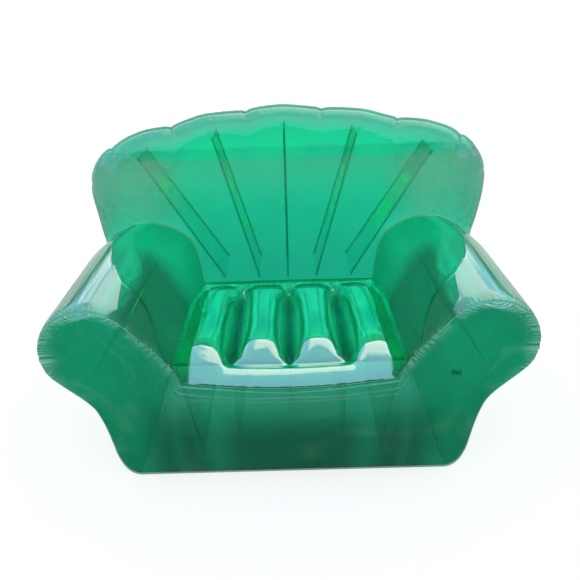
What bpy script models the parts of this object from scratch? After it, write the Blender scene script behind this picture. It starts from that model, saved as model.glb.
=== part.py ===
"""Inflatable sofa of clear film: welded panels, inner ribs and webs, and two air valves.

Metres, +Z up. The sitter faces -Y, and X runs across the sofa, which is alike on both sides.
The base, seat and arms are one air chamber. The fan-shaped backrest is a second one behind it.
Every panel is a thin closed solid, and panels that are welded on the real thing lie a hair apart.
"""

import math

import bmesh
import bpy
from mathutils import Matrix, Vector
from mathutils.bvhtree import BVHTree

# Film and its seams
FILM = 0.0005
WELD_GAP = 0.0003
EDGE_GAP = 0.0008
FIN_WIDTH = 0.006

# Base and arms, half section seen from the front
BASE_FLAT_HALF = 0.406
BASE_SIDE_HALF = 0.464
CORNER_HEIGHT = 0.082
WAIST_HALF = 0.488
WAIST_HEIGHT = 0.205
ARM_RADIUS = 0.130
ARM_CENTRE_HALF = 0.480
ARM_CENTRE_HEIGHT = 0.382
ARM_LENGTH = 0.600
ARM_FRONT_TUCK = 0.009
ARM_END_ROLL = 0.050
ARM_FLARE_LENGTH = 0.200
ARM_REAR_CENTRE_HALF = 0.445
ARM_REAR_CENTRE_HEIGHT = 0.370
ARM_REAR_RISE = 0.150
ARM_REAR_INWARD = 0.180
ARM_REAR_OUTWARD = 0.140
ARM_LOW_ANGLE = math.radians(-22)
ARM_TOP_ANGLE = math.radians(90)
ARM_INNER_ANGLE = math.radians(140)

# Front panel
FRONT_BULGE = 0.034
ARM_FRONT_BULGE = 0.022

# Seat
SEAT_HALF = 0.298
SEAT_CORNER_HALF = 0.268
SEAT_SEAM_HEIGHT = 0.318
SEAT_REAR_HALF = 0.266
SEAT_REAR_HEIGHT = 0.330
SEAT_FRONT_HEIGHT = 0.298
SEAT_CORNER_ROLL = 0.060
SEAT_FRONT_BOW = 0.032
SEAT_ROLL_HEIGHT = 0.320
SEAT_ROLL_LENGTH = 0.095
SEAT_CREST_RISE = 0.018
SEAT_GROOVE_DEPTH = 0.034
SEAT_REAR_ROLL = 0.070
SEAT_LOBES = 4

# Webs inside the base and the arms
SIDE_WEB_FOOT_SHARE = 0.616
SIDE_WEB_INSET = 0.070
ARM_WEB_SHARES = (0.12, 0.79)

# Backrest, in its leaning middle plane
BACK_SEAT_DEPTH = 0.590
BACK_SEAT_HEIGHT = 0.335
BACK_LEAN_SHARE = 0.200
BACK_HEIGHT = 0.840
BACK_WIDE_HALF = 0.625
BACK_WIDE_HEIGHT = 0.610
BACK_SHOULDER_HALF = 0.556
BACK_SHOULDER_HEIGHT = 0.731
BACK_ARM_MARGIN = 0.008
BACK_HALF_THICK_LOW = 0.0825
BACK_HALF_THICK_HIGH = 0.0625
WEB_SPAN = BACK_SEAT_DEPTH - BACK_HALF_THICK_LOW
BACK_RIB_TOP_HEIGHT = 0.741
BACK_EDGE_ROLL = 0.085
BACK_SCALLOP = 0.008
BACK_SMALL_SCALLOP = 0.004
BACK_FAN_HEIGHT = 0.045
BACK_RIB_PITCH = math.radians(17.1)
BACK_RIB_FOOT_HEIGHT = 0.340
BACK_RIB_TOP_CLEAR = 0.056
BACK_LOBE_SHARE = 0.10
SEAM_STEPS = 60
RIB_NAMES = ("left_outer", "left_inner", "centre", "right_inner", "right_outer")

# Valve: a flange welded to the film, a stem that pulls out, a plug cap and a check flap
VALVE_HEIGHT = 0.172
VALVE_DEPTH = 0.186
BACK_VALVE_HEIGHT = 0.130
BACK_VALVE_SIDE_SHARE = -0.650
FLANGE_RADIUS = 0.015
FLANGE_THICK = 0.0012
COLLAR_RADIUS = 0.0092
COLLAR_LENGTH = 0.006
STEM_RADIUS = 0.0075
STEM_BORE_RADIUS = 0.0042
STEM_LENGTH = 0.0215
STEM_RIM_RADIUS = 0.0095
STEM_RIM_THICK = 0.0015
STEM_STOP_THICK = 0.0013
CAP_RADIUS = 0.0088
CAP_THICK = 0.0014
CAP_TAB_LENGTH = 0.0050
CAP_TAB_HALF = 0.0030
PLUG_LENGTH = 0.0085
FLAP_THICK = 0.0006
FLAP_LAP = 0.0009
VALVE_CLEAR = 0.0003
CUT_OVERRUN = 0.010

# Curve handles, each as shares of the way across and up from the curve's start to its end
CORNER_SHARES = ((0.62, 0), (0.88, 0.52))
SIDE_SHARES = ((0.28, 0.40), (0.50, 0.72))
WAIST_SHARES = ((0.10, 0.36), (0.80, 0.68))
INNER_SHARES = (0.35, 0.30)
INNER_FOOT_SHARES = (0.35, 1)
BACK_WAIST_SHARES = ((0.12, 0.36), (0.98, 0.66))
BACK_SIDE_SHARES = ((0, 0.40), (1, 0.62))
BACK_SHOULDER_SHARES = ((0, 0.50), (0.55, 0.84))
BACK_TOP_SHARES = ((0.17, 0.42), (0.62, 1))

# Other shares
FRONT_ROUND_SHARE = 0.8
GROOVE_SHARPNESS = 2.2
CREST_ROLL_SHARE = 0.35
GROOVE_START_SHARE = 0.45
GROOVE_END_SHARE = 0.30
SIDE_BLEND_SHARE = 0.35
RIB_FADE_SHARE = 0.5
FOOT_SHARES = (0.35, 0.70)
RIB_ROW_SHARES = (0, 0.20, 0.42, 0.64, 0.84, 1)
SEAM_ROW_SHARES = (0.45, 0.82, 1)
FOOT_LIMIT_SHARE = 0.5
HEAD_LIMIT_SHARE = 0.6
PLUG_TIP_SHARES = (0.80, 0.85)
CHORD_SHARES = (0.25, 0.50, 0.75)
WEB_SHARES = (0, 0.25, 0.50, 0.75, 1)

# How finely each form is divided
OUTLINE_STEPS = {"flat": 8, "corner": 8, "side": 4, "waist": 10, "rise": 10, "shoulder": 10, "top": 24}
SECTION_STEPS = {"corner": 4, "side": 2, "waist": 5, "outer_arc": 7, "inner_arc": 3, "inner": 4}
FRONT_STEPS = {"corner": 4, "side": 2, "waist": 5, "outer_arc": 7, "inner_arc": 8, "inner": 10}
SEAT_STEPS_PER_LOBE = 6
ROW_SHARES = (0, 0.03, 0.07, 0.12, 0.18, 0.25, 0.35, 0.52, 0.68, 0.79, 0.87, 0.93, 0.97, 1)
RIB_SHARES = (0.25, 0.87)
ACROSS_SHARES = (0, 0.07, 0.19, 0.34, 0.52, 0.70, 0.85, 0.95, 1)
TURN_STEPS = 20

GREEN_FILM = ("green_film", (0.010, 0.560, 0.270), 0.08, 0.45)
VALVE_VINYL = ("valve_vinyl", (0.006, 0.150, 0.075), 0.25, 1.0)


def clear_scene():
    """Takes out whatever the file opened with."""
    for obj in list(bpy.data.objects):
        bpy.data.objects.remove(obj, do_unlink=True)


def material(finish):
    """The Principled material of a finish, made once."""
    name, colour, roughness, alpha = finish
    made = bpy.data.materials.get(name)
    if made:
        return made
    made = bpy.data.materials.new(name)
    made.use_nodes = True
    shader = made.node_tree.nodes["Principled BSDF"]
    shader.inputs["Base Color"].default_value = (*colour, 1)
    shader.inputs["Roughness"].default_value = roughness
    shader.inputs["Metallic"].default_value = 0
    shader.inputs["Alpha"].default_value = alpha
    return made


def add_object(name, shape, finish):
    """Turns a bmesh into a smooth-shaded object of the scene."""
    mesh = bpy.data.meshes.new(name)
    shape.to_mesh(mesh)
    shape.free()
    mesh.shade_smooth()
    mesh.set_sharp_from_angle(angle=math.radians(35))
    mesh.materials.append(material(finish))
    obj = bpy.data.objects.new(name, mesh)
    bpy.context.scene.collection.objects.link(obj)
    return obj


def mix(low, high, share):
    """The value or vector that lies this share of the way from low to high."""
    return low + (high - low) * share


def smooth(share):
    """Rises from 0 to 1 with level ends."""
    share = min(max(share, 0), 1)
    return share * share * (3 - 2 * share)


def quarter_round(share):
    """Rises from 0 to 1 like a quarter of a circle, steep at first."""
    return math.sqrt(1 - (1 - min(max(share, 0), 1)) ** 2)


def bezier(start, start_handle, end_handle, end, steps):
    """Points along a cubic curve, without its last one."""
    points = []
    for step in range(steps):
        t = step / steps
        points.append(
            start * (1 - t) ** 3
            + start_handle * 3 * t * (1 - t) ** 2
            + end_handle * 3 * t * t * (1 - t)
            + end * t**3
        )
    return points


def curve(start, end, shares, steps):
    """A cubic curve whose handles lie at shares of the way across and up from start to end."""
    first, second = (
        Vector((mix(start.x, end.x, across), mix(start.y, end.y, up))) for across, up in shares
    )
    return bezier(start, first, second, end, steps)


# The shared shape of base, arms and seat


def on_arm(y, angle):
    """A point (x, z) on the arm's round: a tube that draws in at the front and flares at the rear."""
    radius = ARM_RADIUS - ARM_FRONT_TUCK * (1 - quarter_round(y / ARM_END_ROLL))
    tube = Vector(
        (
            ARM_CENTRE_HALF + radius * math.cos(angle),
            ARM_CENTRE_HEIGHT + radius * math.sin(angle),
        )
    )
    reach = ARM_REAR_OUTWARD if math.cos(angle) > 0 else ARM_REAR_INWARD
    flared = Vector(
        (
            ARM_REAR_CENTRE_HALF + reach * math.cos(angle),
            ARM_REAR_CENTRE_HEIGHT + ARM_REAR_RISE * math.sin(angle),
        )
    )
    return mix(tube, flared, to_rear(y))


def to_rear(y):
    """How far the section has flared at this depth, 1 where it meets the backrest."""
    return smooth((y - ARM_LENGTH + ARM_FLARE_LENGTH) / ARM_FLARE_LENGTH) ** 2


def along_arm(angle):
    """The direction in which the section runs round the arm at this angle."""
    return Vector((-math.sin(angle), math.cos(angle)))


def seat_seam(y):
    """The weld (x, z) between arm and seat. It draws in at both ends and drops at the front corner."""
    back = smooth(y / SEAT_CORNER_ROLL)
    front = Vector(
        (
            mix(SEAT_CORNER_HALF, SEAT_HALF, back),
            mix(SEAT_FRONT_HEIGHT, SEAT_SEAM_HEIGHT, back),
        )
    )
    return mix(front, Vector((SEAT_REAR_HALF, SEAT_REAR_HEIGHT)), to_rear(y))


def base_section(inset, steps):
    """Half section (x, z) of the base from the floor to the waist, drawn in by an inset."""
    flat = Vector((BASE_FLAT_HALF, inset))
    side = Vector((BASE_SIDE_HALF - inset, CORNER_HEIGHT))
    waist = Vector((WAIST_HALF - inset, WAIST_HEIGHT))
    points = curve(flat, side, CORNER_SHARES, steps["corner"])
    return points + curve(side, waist, SIDE_SHARES, steps["side"]), waist


def arm_section(y, steps=SECTION_STEPS):
    """Half section (x, z) of the outer film at depth y, from the floor round the arm to the seat."""
    base, waist = base_section(0, steps)
    low = on_arm(y, ARM_LOW_ANGLE)
    inner = on_arm(y, ARM_INNER_ANGLE)
    seam = seat_seam(y)
    points = base + curve(waist, low, WAIST_SHARES, steps["waist"])
    for part, start, end in (
        ("outer_arc", ARM_LOW_ANGLE, ARM_TOP_ANGLE),
        ("inner_arc", ARM_TOP_ANGLE, ARM_INNER_ANGLE),
    ):
        for step in range(steps[part]):
            points.append(on_arm(y, mix(start, end, step / steps[part])))
    run = (seam - inner).length
    points += bezier(
        inner,
        inner + along_arm(ARM_INNER_ANGLE) * run * INNER_SHARES[0],
        seam + Vector(INNER_FOOT_SHARES).normalized() * run * INNER_SHARES[1],
        seam,
        steps["inner"],
    )
    return points + [seam]


def arm_top_index(steps):
    """Where the section passes over the top of the arm."""
    return steps["corner"] + steps["side"] + steps["waist"] + steps["outer_arc"]


def seat_front_seam(share):
    """The weld between seat and front panel, at this share of the half width from the middle."""
    return Vector(
        (
            SEAT_CORNER_HALF * share,
            -SEAT_FRONT_BOW * (1 - share * share),
            SEAT_FRONT_HEIGHT,
        )
    )


# The shape of the backrest


def back_middle(z):
    """Depth of the backrest's leaning middle plane at this height."""
    return BACK_SEAT_DEPTH + BACK_LEAN_SHARE * (z - BACK_SEAT_HEIGHT)


def back_outline_points():
    """Half outline (x, z) of the backrest inside its fin, from the floor to the top centre."""
    base, waist = base_section(FIN_WIDTH, OUTLINE_STEPS)
    arm = Vector(
        (
            ARM_REAR_CENTRE_HALF + ARM_REAR_OUTWARD + BACK_ARM_MARGIN,
            ARM_CENTRE_HEIGHT,
        )
    )
    wide = Vector((BACK_WIDE_HALF - FIN_WIDTH, BACK_WIDE_HEIGHT))
    shoulder = Vector((BACK_SHOULDER_HALF, BACK_SHOULDER_HEIGHT - FIN_WIDTH))
    top = Vector((0, BACK_HEIGHT - FIN_WIDTH))
    flat = OUTLINE_STEPS["flat"]
    points = [Vector((BASE_FLAT_HALF * step / flat, FIN_WIDTH)) for step in range(flat)] + base
    points += curve(waist, arm, BACK_WAIST_SHARES, OUTLINE_STEPS["waist"])
    points += curve(arm, wide, BACK_SIDE_SHARES, OUTLINE_STEPS["rise"])
    points += curve(wide, shoulder, BACK_SHOULDER_SHARES, OUTLINE_STEPS["shoulder"])
    points += curve(shoulder, top, BACK_TOP_SHARES, OUTLINE_STEPS["top"])
    return points + [top]


def share_along(point, start, end):
    """The share of the way from start to end at which a segment comes nearest to a point."""
    run = end - start
    return min(max((point - start).dot(run) / run.dot(run), 0), 1)


def fan_angle(point):
    """Angle of a backrest point about the fan's centre, 0 straight up and positive to +X."""
    return math.atan2(point.x, point.y - BACK_FAN_HEIGHT)


NOTCH_SHARES = (0.5, 1.5, 2.28, 2.75, 3.25)


def scallop(angle):
    """How far the seam is drawn in between two pleats of the backrest's edge."""
    notches = [-NOTCH_SHARES[0]] + list(NOTCH_SHARES)
    turn = abs(angle) / BACK_RIB_PITCH
    for low, high in zip(notches, notches[1:]):
        if turn <= high:
            depth = BACK_SCALLOP if high <= NOTCH_SHARES[2] else BACK_SMALL_SCALLOP
            return depth * abs(2 * (turn - low) / (high - low) - 1) ** 4
    return BACK_SMALL_SCALLOP * (1 - smooth((turn - notches[-1]) / NOTCH_SHARES[0]))


class Backrest:
    """The fan's outline and thickness, worked out once and read by every piece that meets it."""

    def __init__(self):
        self.sides = back_outline_points()
        lowest = NOTCH_SHARES[-1] * BACK_RIB_PITCH
        low = [fan_angle(point) for point in self.sides if fan_angle(point) > lowest * 1.03]
        self.low_angles = sorted(low[::2])
        upper = [lowest * step / SEAM_STEPS for step in range(SEAM_STEPS + 1)]
        half = [self.point(angle, self.outline(angle)) for angle in upper + sorted(low)]
        self.edge = [Vector((-point.x, point.y)) for point in reversed(half[1:-1])] + half
        self.edge.append(self.edge[0])

    def point(self, angle, radius):
        """The point (x, z) at an angle and a distance from the fan's centre."""
        return Vector((radius * math.sin(angle), BACK_FAN_HEIGHT + radius * math.cos(angle)))

    def outline(self, angle):
        """Distance from the fan's centre to the seam, with its scallops."""
        turn = min(abs(angle), math.pi * (1 - FILM))
        heading = Vector((math.sin(turn), math.cos(turn)))
        centre = Vector((0, BACK_FAN_HEIGHT))
        for low, high in zip(self.sides, self.sides[1:]):
            if fan_angle(high) <= turn <= fan_angle(low):
                return (low - centre).cross(high - low) / heading.cross(high - low) - scallop(turn)
        return (self.sides[0] - centre).length

    def seam_distance(self, point):
        """How far a point (x, z) lies inside the seam."""
        return min(
            (point - start - (end - start) * share_along(point, start, end)).length
            for start, end in zip(self.edge, self.edge[1:])
        )

    def half_thickness(self, angle, radius):
        """Half the pillow's thickness, with its round edge, its lobes and the grooves over the ribs."""
        point = self.point(angle, radius)
        distance = 0 if radius >= self.outline(angle) * (1 - FILM) else self.seam_distance(point)
        climb = (point.y - BACK_SEAT_HEIGHT) / (BACK_RIB_TOP_HEIGHT - BACK_SEAT_HEIGHT)
        thick = mix(BACK_HALF_THICK_LOW, BACK_HALF_THICK_HIGH, min(max(climb, 0), 1))
        lobe = BACK_LOBE_SHARE * radius * BACK_RIB_PITCH
        turn = abs(angle) / BACK_RIB_PITCH
        if turn < 2:
            groove = abs(2 * (turn % 1) - 1) ** 2
        else:
            groove = (1 - min(turn - 2, 1)) ** 2
        foot = smooth((radius - self.foot(angle)) / BACK_RIB_TOP_CLEAR + RIB_FADE_SHARE)
        head = smooth((self.outline(angle) - radius) / BACK_RIB_TOP_CLEAR - RIB_FADE_SHARE)
        return quarter_round(distance / BACK_EDGE_ROLL) * (thick + lobe * (1 - groove * foot * head))

    def foot(self, angle):
        """Distance from the fan's centre to the level of the ribs' feet, kept inside the outline."""
        level = (BACK_RIB_FOOT_HEIGHT - BACK_FAN_HEIGHT) / max(math.cos(angle), FOOT_LIMIT_SHARE)
        return min(level, self.outline(angle) * FOOT_LIMIT_SHARE)

    def head(self, angle):
        """Distance from the fan's centre to the ribs' upper ends."""
        outline = self.outline(angle)
        return max(outline - BACK_RIB_TOP_CLEAR, outline * HEAD_LIMIT_SHARE)

    def radii(self, angle):
        """Distances of the grid's rings along one ray, the last one at the seam."""
        foot, head, outline = self.foot(angle), self.head(angle), self.outline(angle)
        inner = [foot * share for share in FOOT_SHARES]
        middle = [mix(foot, head, share) for share in RIB_ROW_SHARES]
        return inner + middle + [mix(head, outline, share) for share in SEAM_ROW_SHARES]

    def skin_point(self, angle, radius, face):
        """A point of the inner side of the front skin (face -1) or the rear skin (face +1)."""
        flat = self.point(angle, radius)
        thick = self.half_thickness(angle, radius)
        return Vector((flat.x, back_middle(flat.y) + face * (thick + WELD_GAP / 2), flat.y))


FOOT_RING, HEAD_RING = 2, 7


def fan_angles(backrest):
    """Angles of the grid's rays, right half first: one on each rib and each pleat."""
    keys = [0, *(share * BACK_RIB_PITCH for share in (0.5, 1, 1.5, 2, 2.28, 2.75, 3.25))]
    steps = (3, 3, 3, 3, 1, 2, 2)
    angles = []
    for (low, high), count in zip(zip(keys, keys[1:]), steps):
        angles += [mix(low, high, step / count) for step in range(count)]
    angles += [keys[-1]] + [angle for angle in backrest.low_angles if angle < math.pi * (1 - FILM)]
    return angles + [math.pi] + [-angle for angle in reversed(angles[1:])]


# Building blocks


def sheet_shape(rows, inside, closed=False):
    """A bmesh over rows of points, its faces turned away from a point inside the chamber."""
    shape = bmesh.new()
    grid = [[shape.verts.new(point) for point in row] for row in rows]
    for low, high in zip(grid, grid[1:]):
        count = len(high)
        for i in range(count if closed else count - 1):
            j = (i + 1) % count
            if len(low) == 1:
                shape.faces.new((low[0], high[j], high[i]))
            else:
                shape.faces.new((low[i], low[j], high[j], high[i]))
    bmesh.ops.remove_doubles(shape, verts=shape.verts, dist=WELD_GAP / 10)
    shape.normal_update()
    outward = sum(
        (face.calc_center_median() - inside).dot(face.normal) * face.calc_area() for face in shape.faces
    )
    if outward < 0:
        bmesh.ops.reverse_faces(shape, faces=shape.faces)
    return shape


def film(name, rows, inside, side=-1, closed=False):
    """A panel of film. The rows are its outer side (side -1), its inner one (+1) or its middle (0)."""
    panel = add_object(name, sheet_shape(rows, inside, closed), GREEN_FILM)
    wall = panel.modifiers.new("film", "SOLIDIFY")
    wall.thickness = FILM
    wall.offset = side
    wall.use_even_offset = True
    return panel


def surface_of(obj):
    """A search tree over an object's finished surface."""
    return BVHTree.FromObject(obj, bpy.context.evaluated_depsgraph_get())


# Backrest pieces


def backrest_skin(backrest, name, face):
    """One skin of the fan with its flat weld fin, welded to the other all round."""
    angles = fan_angles(backrest)
    centre = backrest.skin_point(0, 0, face)
    rings = [[centre]]
    for ring in range(len(backrest.radii(0))):
        rings.append(
            [backrest.skin_point(angle, backrest.radii(angle)[ring], face) for angle in angles]
        )
    fin = []
    for angle, seam in zip(angles, rings[-1]):
        out = Vector((seam.x, seam.z)) + seam_normal(backrest, angle) * FIN_WIDTH
        fin.append(Vector((out.x, back_middle(out.y) + face * WELD_GAP / 2, max(out.y, 0))))
    rings.append(fin)
    inside = Vector((0, back_middle(BACK_SEAT_HEIGHT), BACK_SEAT_HEIGHT))
    return film(name, rings, inside, side=1, closed=True)


def seam_normal(backrest, angle):
    """The direction (x, z) in which the weld fin stands out from the seam on this ray."""
    turn = BACK_RIB_PITCH / 20
    ahead = backrest.point(angle + turn, backrest.outline(angle + turn))
    behind = backrest.point(angle - turn, backrest.outline(angle - turn))
    along = (ahead - behind).normalized()
    return Vector((-along.y, along.x))


def backrest_rib(backrest, index, name):
    """A web that ties front skin to rear skin along one ray of the fan."""
    angle = (index - 2) * BACK_RIB_PITCH
    rows = []
    for ring in range(FOOT_RING, HEAD_RING + 1):
        radius = backrest.radii(angle)[ring]
        front = backrest.skin_point(angle, radius, -1)
        rear = backrest.skin_point(angle, radius, 1)
        step = Vector((0, WELD_GAP, 0))
        rows.append([front + step, (front + rear) / 2, rear - step])
    return film(f"backrest_rib_{name}", rows, Vector((BACK_WIDE_HALF, 0, 0)), side=0)


# Base, seat and arm pieces


class Reach:
    """Finds how far back a panel may run before it meets the backrest's front skin."""

    def __init__(self, skin):
        self.tree = surface_of(skin)

    def hit(self, x, z):
        """Depth of the skin at this place, or None beside it."""
        start = Vector((x, -BACK_SEAT_DEPTH, max(z, FIN_WIDTH / 4)))
        place = self.tree.ray_cast(start, Vector((0, 1, 0)))[0]
        return place.y if place else None

    def depth(self, x, z):
        """Depth of the panel's rear edge at this place, a hair in front of the skin."""
        around = [(0, 0), (FILM, 0), (-FILM, 0), (0, FILM), (0, -FILM)]
        found = [self.hit(x + right, z + up) for right, up in around]
        found = [y for y in found if y is not None]
        return (min(found) if found else back_middle(z)) - EDGE_GAP

    def ends(self, points):
        """Depths of a panel's rear edge at these (x, z) points, its chords clear of the skin too."""
        depths = [self.depth(point.x, point.y) for point in points]
        pulled = list(depths)
        for i in range(len(points) - 1):
            for share in CHORD_SHARES:
                between = mix(points[i], points[i + 1], share)
                over = mix(depths[i], depths[i + 1], share) - self.depth(between.x, between.y)
                pulled[i] = min(pulled[i], depths[i] - over)
                pulled[i + 1] = min(pulled[i + 1], depths[i + 1] - over)
        return pulled


def front_panel():
    """The sheet that closes base and both arms at the front, one piece from floor to arm tops."""
    count = SEAT_LOBES * SEAT_STEPS_PER_LOBE // 2
    section = arm_section(0, FRONT_STEPS)
    top = arm_top_index(FRONT_STEPS)
    lower = [Vector((BASE_FLAT_HALF * step / count, 0, 0)) for step in range(count)]
    lower += [Vector((point.x, 0, point.y)) for point in section[: top + 1]]
    upper = [seat_front_seam(step / count) for step in range(count)]
    upper += [Vector((point.x, 0, point.y)) for point in reversed(section[top:])]
    columns = []
    for index, (high, low) in enumerate(zip(upper, lower)):
        to_arm = smooth((index - count) / count)
        bulge = mix(FRONT_BULGE, ARM_FRONT_BULGE, to_arm) * min(1, (high - low).length / CORNER_HEIGHT)
        column = []
        for share in ACROSS_SHARES:
            point = mix(high, low, share)
            point.y -= bulge * math.sin(math.pi * share) ** FRONT_ROUND_SHARE
            column.append(point)
        columns.append(column)
    mirrored = [[Vector((-p.x, p.y, p.z)) for p in column] for column in reversed(columns[1:])]
    inside = Vector((0, ARM_LENGTH, WAIST_HEIGHT))
    return film("front_panel", mirrored + columns, inside)


def wrap_rows(side, reach):
    """Points of one arm's outer film, row by row from the front weld to the backrest."""
    ends = reach.ends([Vector((side * point.x, point.y)) for point in arm_section(ARM_LENGTH)])
    start = FILM + WELD_GAP
    rows = []
    for share in ROW_SHARES:
        row = []
        for index, end in enumerate(ends):
            y = mix(start, end, share)
            bent = mix(start, ARM_LENGTH, share)
            point = arm_section(bent)[index]
            lift = WELD_GAP if index == len(ends) - 1 else 0
            row.append(Vector((side * (point.x + lift + (WELD_GAP if index == 0 else 0)), y, point.y)))
        rows.append(row)
    return rows


def arm_wrap(name, side, rows):
    """The sheet round one side: base side, waist, over the arm and down to the seat weld."""
    inside = Vector((side * ARM_CENTRE_HALF, ARM_LENGTH / 2, ARM_CENTRE_HEIGHT))
    return film(name, rows, inside)


def bottom_panel(reach):
    """The flat sheet that the sofa stands on."""
    half = BASE_FLAT_HALF - WELD_GAP
    columns = []
    for step in range(-8, 9):
        x = half * step / 8
        end = reach.depth(x, 0)
        columns.append([Vector((x, mix(FILM + WELD_GAP, end, share), 0)) for share in (0, 0.5, 1)])
    return film("bottom_panel", columns, Vector((0, 0, BACK_HEIGHT)))


class Seat:
    """The seat's lobed surface between its four seams."""

    def __init__(self, reach):
        self.count = SEAT_LOBES * SEAT_STEPS_PER_LOBE
        rear_seam = [
            Vector(((2 * step / self.count - 1) * SEAT_REAR_HALF, SEAT_REAR_HEIGHT))
            for step in range(self.count + 1)
        ]
        self.rear = reach.ends(rear_seam)

    def place(self, across, along):
        """A point of the seat: across runs -1 to 1 between the arms, along 0 to 1 from the front."""
        seam = seat_front_seam(abs(across))
        rear = self.rear[round((across + 1) / 2 * self.count)]
        y = mix(seam.y, rear, along)
        side = seat_seam(along * ARM_LENGTH)
        height = self.height(across, y - seam.y, rear - y, side.y + FILM + WELD_GAP)
        return Vector((across * (side.x - WELD_GAP), y, height))

    def height(self, across, from_front, from_rear, side_height):
        """Height of the seat: rolls at front and rear, and between them crests and grooves."""
        lift = FILM + WELD_GAP
        roll = quarter_round(from_front / SEAT_ROLL_LENGTH)
        front = mix(SEAT_FRONT_HEIGHT + lift, SEAT_ROLL_HEIGHT + lift, roll)
        share = (across + 1) / 2 * SEAT_LOBES
        hollow = abs(2 * (share % 1) - 1) ** GROOVE_SHARPNESS if abs(across) < 1 else 1
        to_side = abs(across) * SEAT_LOBES / 2 - (SEAT_LOBES / 2 - 1)
        window = smooth(from_front / SEAT_ROLL_LENGTH - GROOVE_START_SHARE)
        window *= smooth(from_rear / SEAT_REAR_ROLL - GROOVE_END_SHARE)
        groove = SEAT_GROOVE_DEPTH * hollow * window * (1 - smooth(to_side))
        crest = SEAT_CREST_RISE * (1 - hollow) * mix(window, roll, CREST_ROLL_SHARE)
        rear = (SEAT_ROLL_HEIGHT - SEAT_REAR_HEIGHT) * (1 - quarter_round(from_rear / SEAT_REAR_ROLL))
        height = front - groove + crest - rear
        return mix(height, side_height, smooth(1 - (1 - to_side) / SIDE_BLEND_SHARE))


def seat_panel(seat):
    """The top sheet of the seat with its lobes."""
    rows = [
        [seat.place(2 * step / seat.count - 1, share) for step in range(seat.count + 1)]
        for share in ROW_SHARES
    ]
    return film("seat_panel", rows, Vector((0, SEAT_HALF, 0)))


def seat_rib(seat, index, name):
    """An upright web that ties a groove of the seat to the bottom."""
    across = 2 * (index + 1) / SEAT_LOBES - 1
    foot = FILM + WELD_GAP
    rows = []
    for share in ROW_SHARES:
        if RIB_SHARES[0] <= share <= RIB_SHARES[1]:
            top = seat.place(across, share)
            top.z -= 2 * FILM + WELD_GAP
            rows.append([top, Vector((top.x, top.y, mix(foot, top.z, 0.5))), Vector((top.x, top.y, foot))])
    return film(f"seat_rib_{name}", rows, Vector((BACK_WIDE_HALF, 0, 0)), side=0)


def side_web(name, side):
    """The upright web between the seat's chamber and an arm, from the seat weld to the bottom."""
    low = FILM + WELD_GAP
    rows = []
    for share in WEB_SHARES:
        y = mix(SIDE_WEB_INSET, WEB_SPAN - SIDE_WEB_INSET, share)
        seam = seat_seam(y * ARM_LENGTH / WEB_SPAN)
        top = Vector((side * seam.x, y, seam.y - 3 * FILM))
        foot = Vector((side * BASE_FLAT_HALF * SIDE_WEB_FOOT_SHARE, y, low))
        rows.append([top, mix(top, foot, 0.5), foot])
    return film(name, rows, Vector((side * BACK_WIDE_HALF, 0, 0)), side=0)


def arm_web(name, side, wrap_rows):
    """The slanting web inside an arm, from its inner shoulder down to the waist."""
    waist = SECTION_STEPS["corner"] + SECTION_STEPS["side"] + 2
    shoulder = arm_top_index(SECTION_STEPS) + SECTION_STEPS["inner_arc"]
    rows = []
    for share, row in zip(ROW_SHARES, wrap_rows):
        if ARM_WEB_SHARES[0] <= share <= ARM_WEB_SHARES[1]:
            low, high = row[waist], row[shoulder]
            inset = (high - low).normalized() * (2 * FILM + WELD_GAP / 3)
            low, high = low + inset, high - inset
            rows.append([low, (low + high) / 2, high])
    return film(name, rows, Vector((-side * BACK_WIDE_HALF, 0, BACK_HEIGHT * 2)), side=0)


# Valves


def turned(name, profile, parent, finish=VALVE_VINYL):
    """A solid turned about its parent's Z from a closed profile of (radius, height) pairs."""
    shape = bmesh.new()
    verts = [shape.verts.new((radius, 0, height)) for radius, height in profile]
    for first, second in zip(verts, verts[1:] + verts[:1]):
        if first.co.x > 0 or second.co.x > 0:
            shape.edges.new((first, second))
    bmesh.ops.spin(
        shape,
        geom=shape.verts[:] + shape.edges[:],
        cent=(0, 0, 0),
        axis=(0, 0, 1),
        angle=2 * math.pi,
        steps=TURN_STEPS,
    )
    bmesh.ops.remove_doubles(shape, verts=shape.verts, dist=VALVE_CLEAR / 100)
    bmesh.ops.recalc_face_normals(shape, faces=shape.faces)
    obj = add_object(name, shape, finish)
    obj.parent = parent
    return obj


def valve_frame(name, skin, start, heading):
    """An empty on the film's outer side, its Z along the outward normal, clear of the film's curve."""
    tree = surface_of(skin)
    place, normal = tree.ray_cast(start, heading)[:2]
    turn = normal.to_track_quat("Z", "Y").to_matrix()
    highest = 0
    for step in range(12):
        around = math.radians(30 * step)
        spot = place + turn @ Vector((math.cos(around), math.sin(around), 0)) * FLANGE_RADIUS
        hit = tree.ray_cast(spot + normal * FLANGE_RADIUS, -normal)[0]
        if hit:
            highest = max(highest, (hit - place).dot(normal))
    frame = bpy.data.objects.new(f"{name}_frame", None)
    frame.matrix_world = Matrix.Translation(place + normal * (highest + WELD_GAP)) @ turn.to_4x4()
    bpy.context.scene.collection.objects.link(frame)
    return frame


def cut_hole(skin, frame, name):
    """Cuts the valve's hole through the film."""
    shape = bmesh.new()
    bmesh.ops.create_cone(
        shape,
        cap_ends=True,
        segments=TURN_STEPS,
        radius1=COLLAR_RADIUS + VALVE_CLEAR,
        radius2=COLLAR_RADIUS + VALVE_CLEAR,
        depth=2 * CUT_OVERRUN,
    )
    cutter = add_object(f"{name}_hole", shape, VALVE_VINYL)
    cutter.parent = frame
    cutter.hide_render = True
    cutter.display_type = "WIRE"
    hole = skin.modifiers.new("valve hole", "BOOLEAN")
    hole.object = cutter


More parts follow.
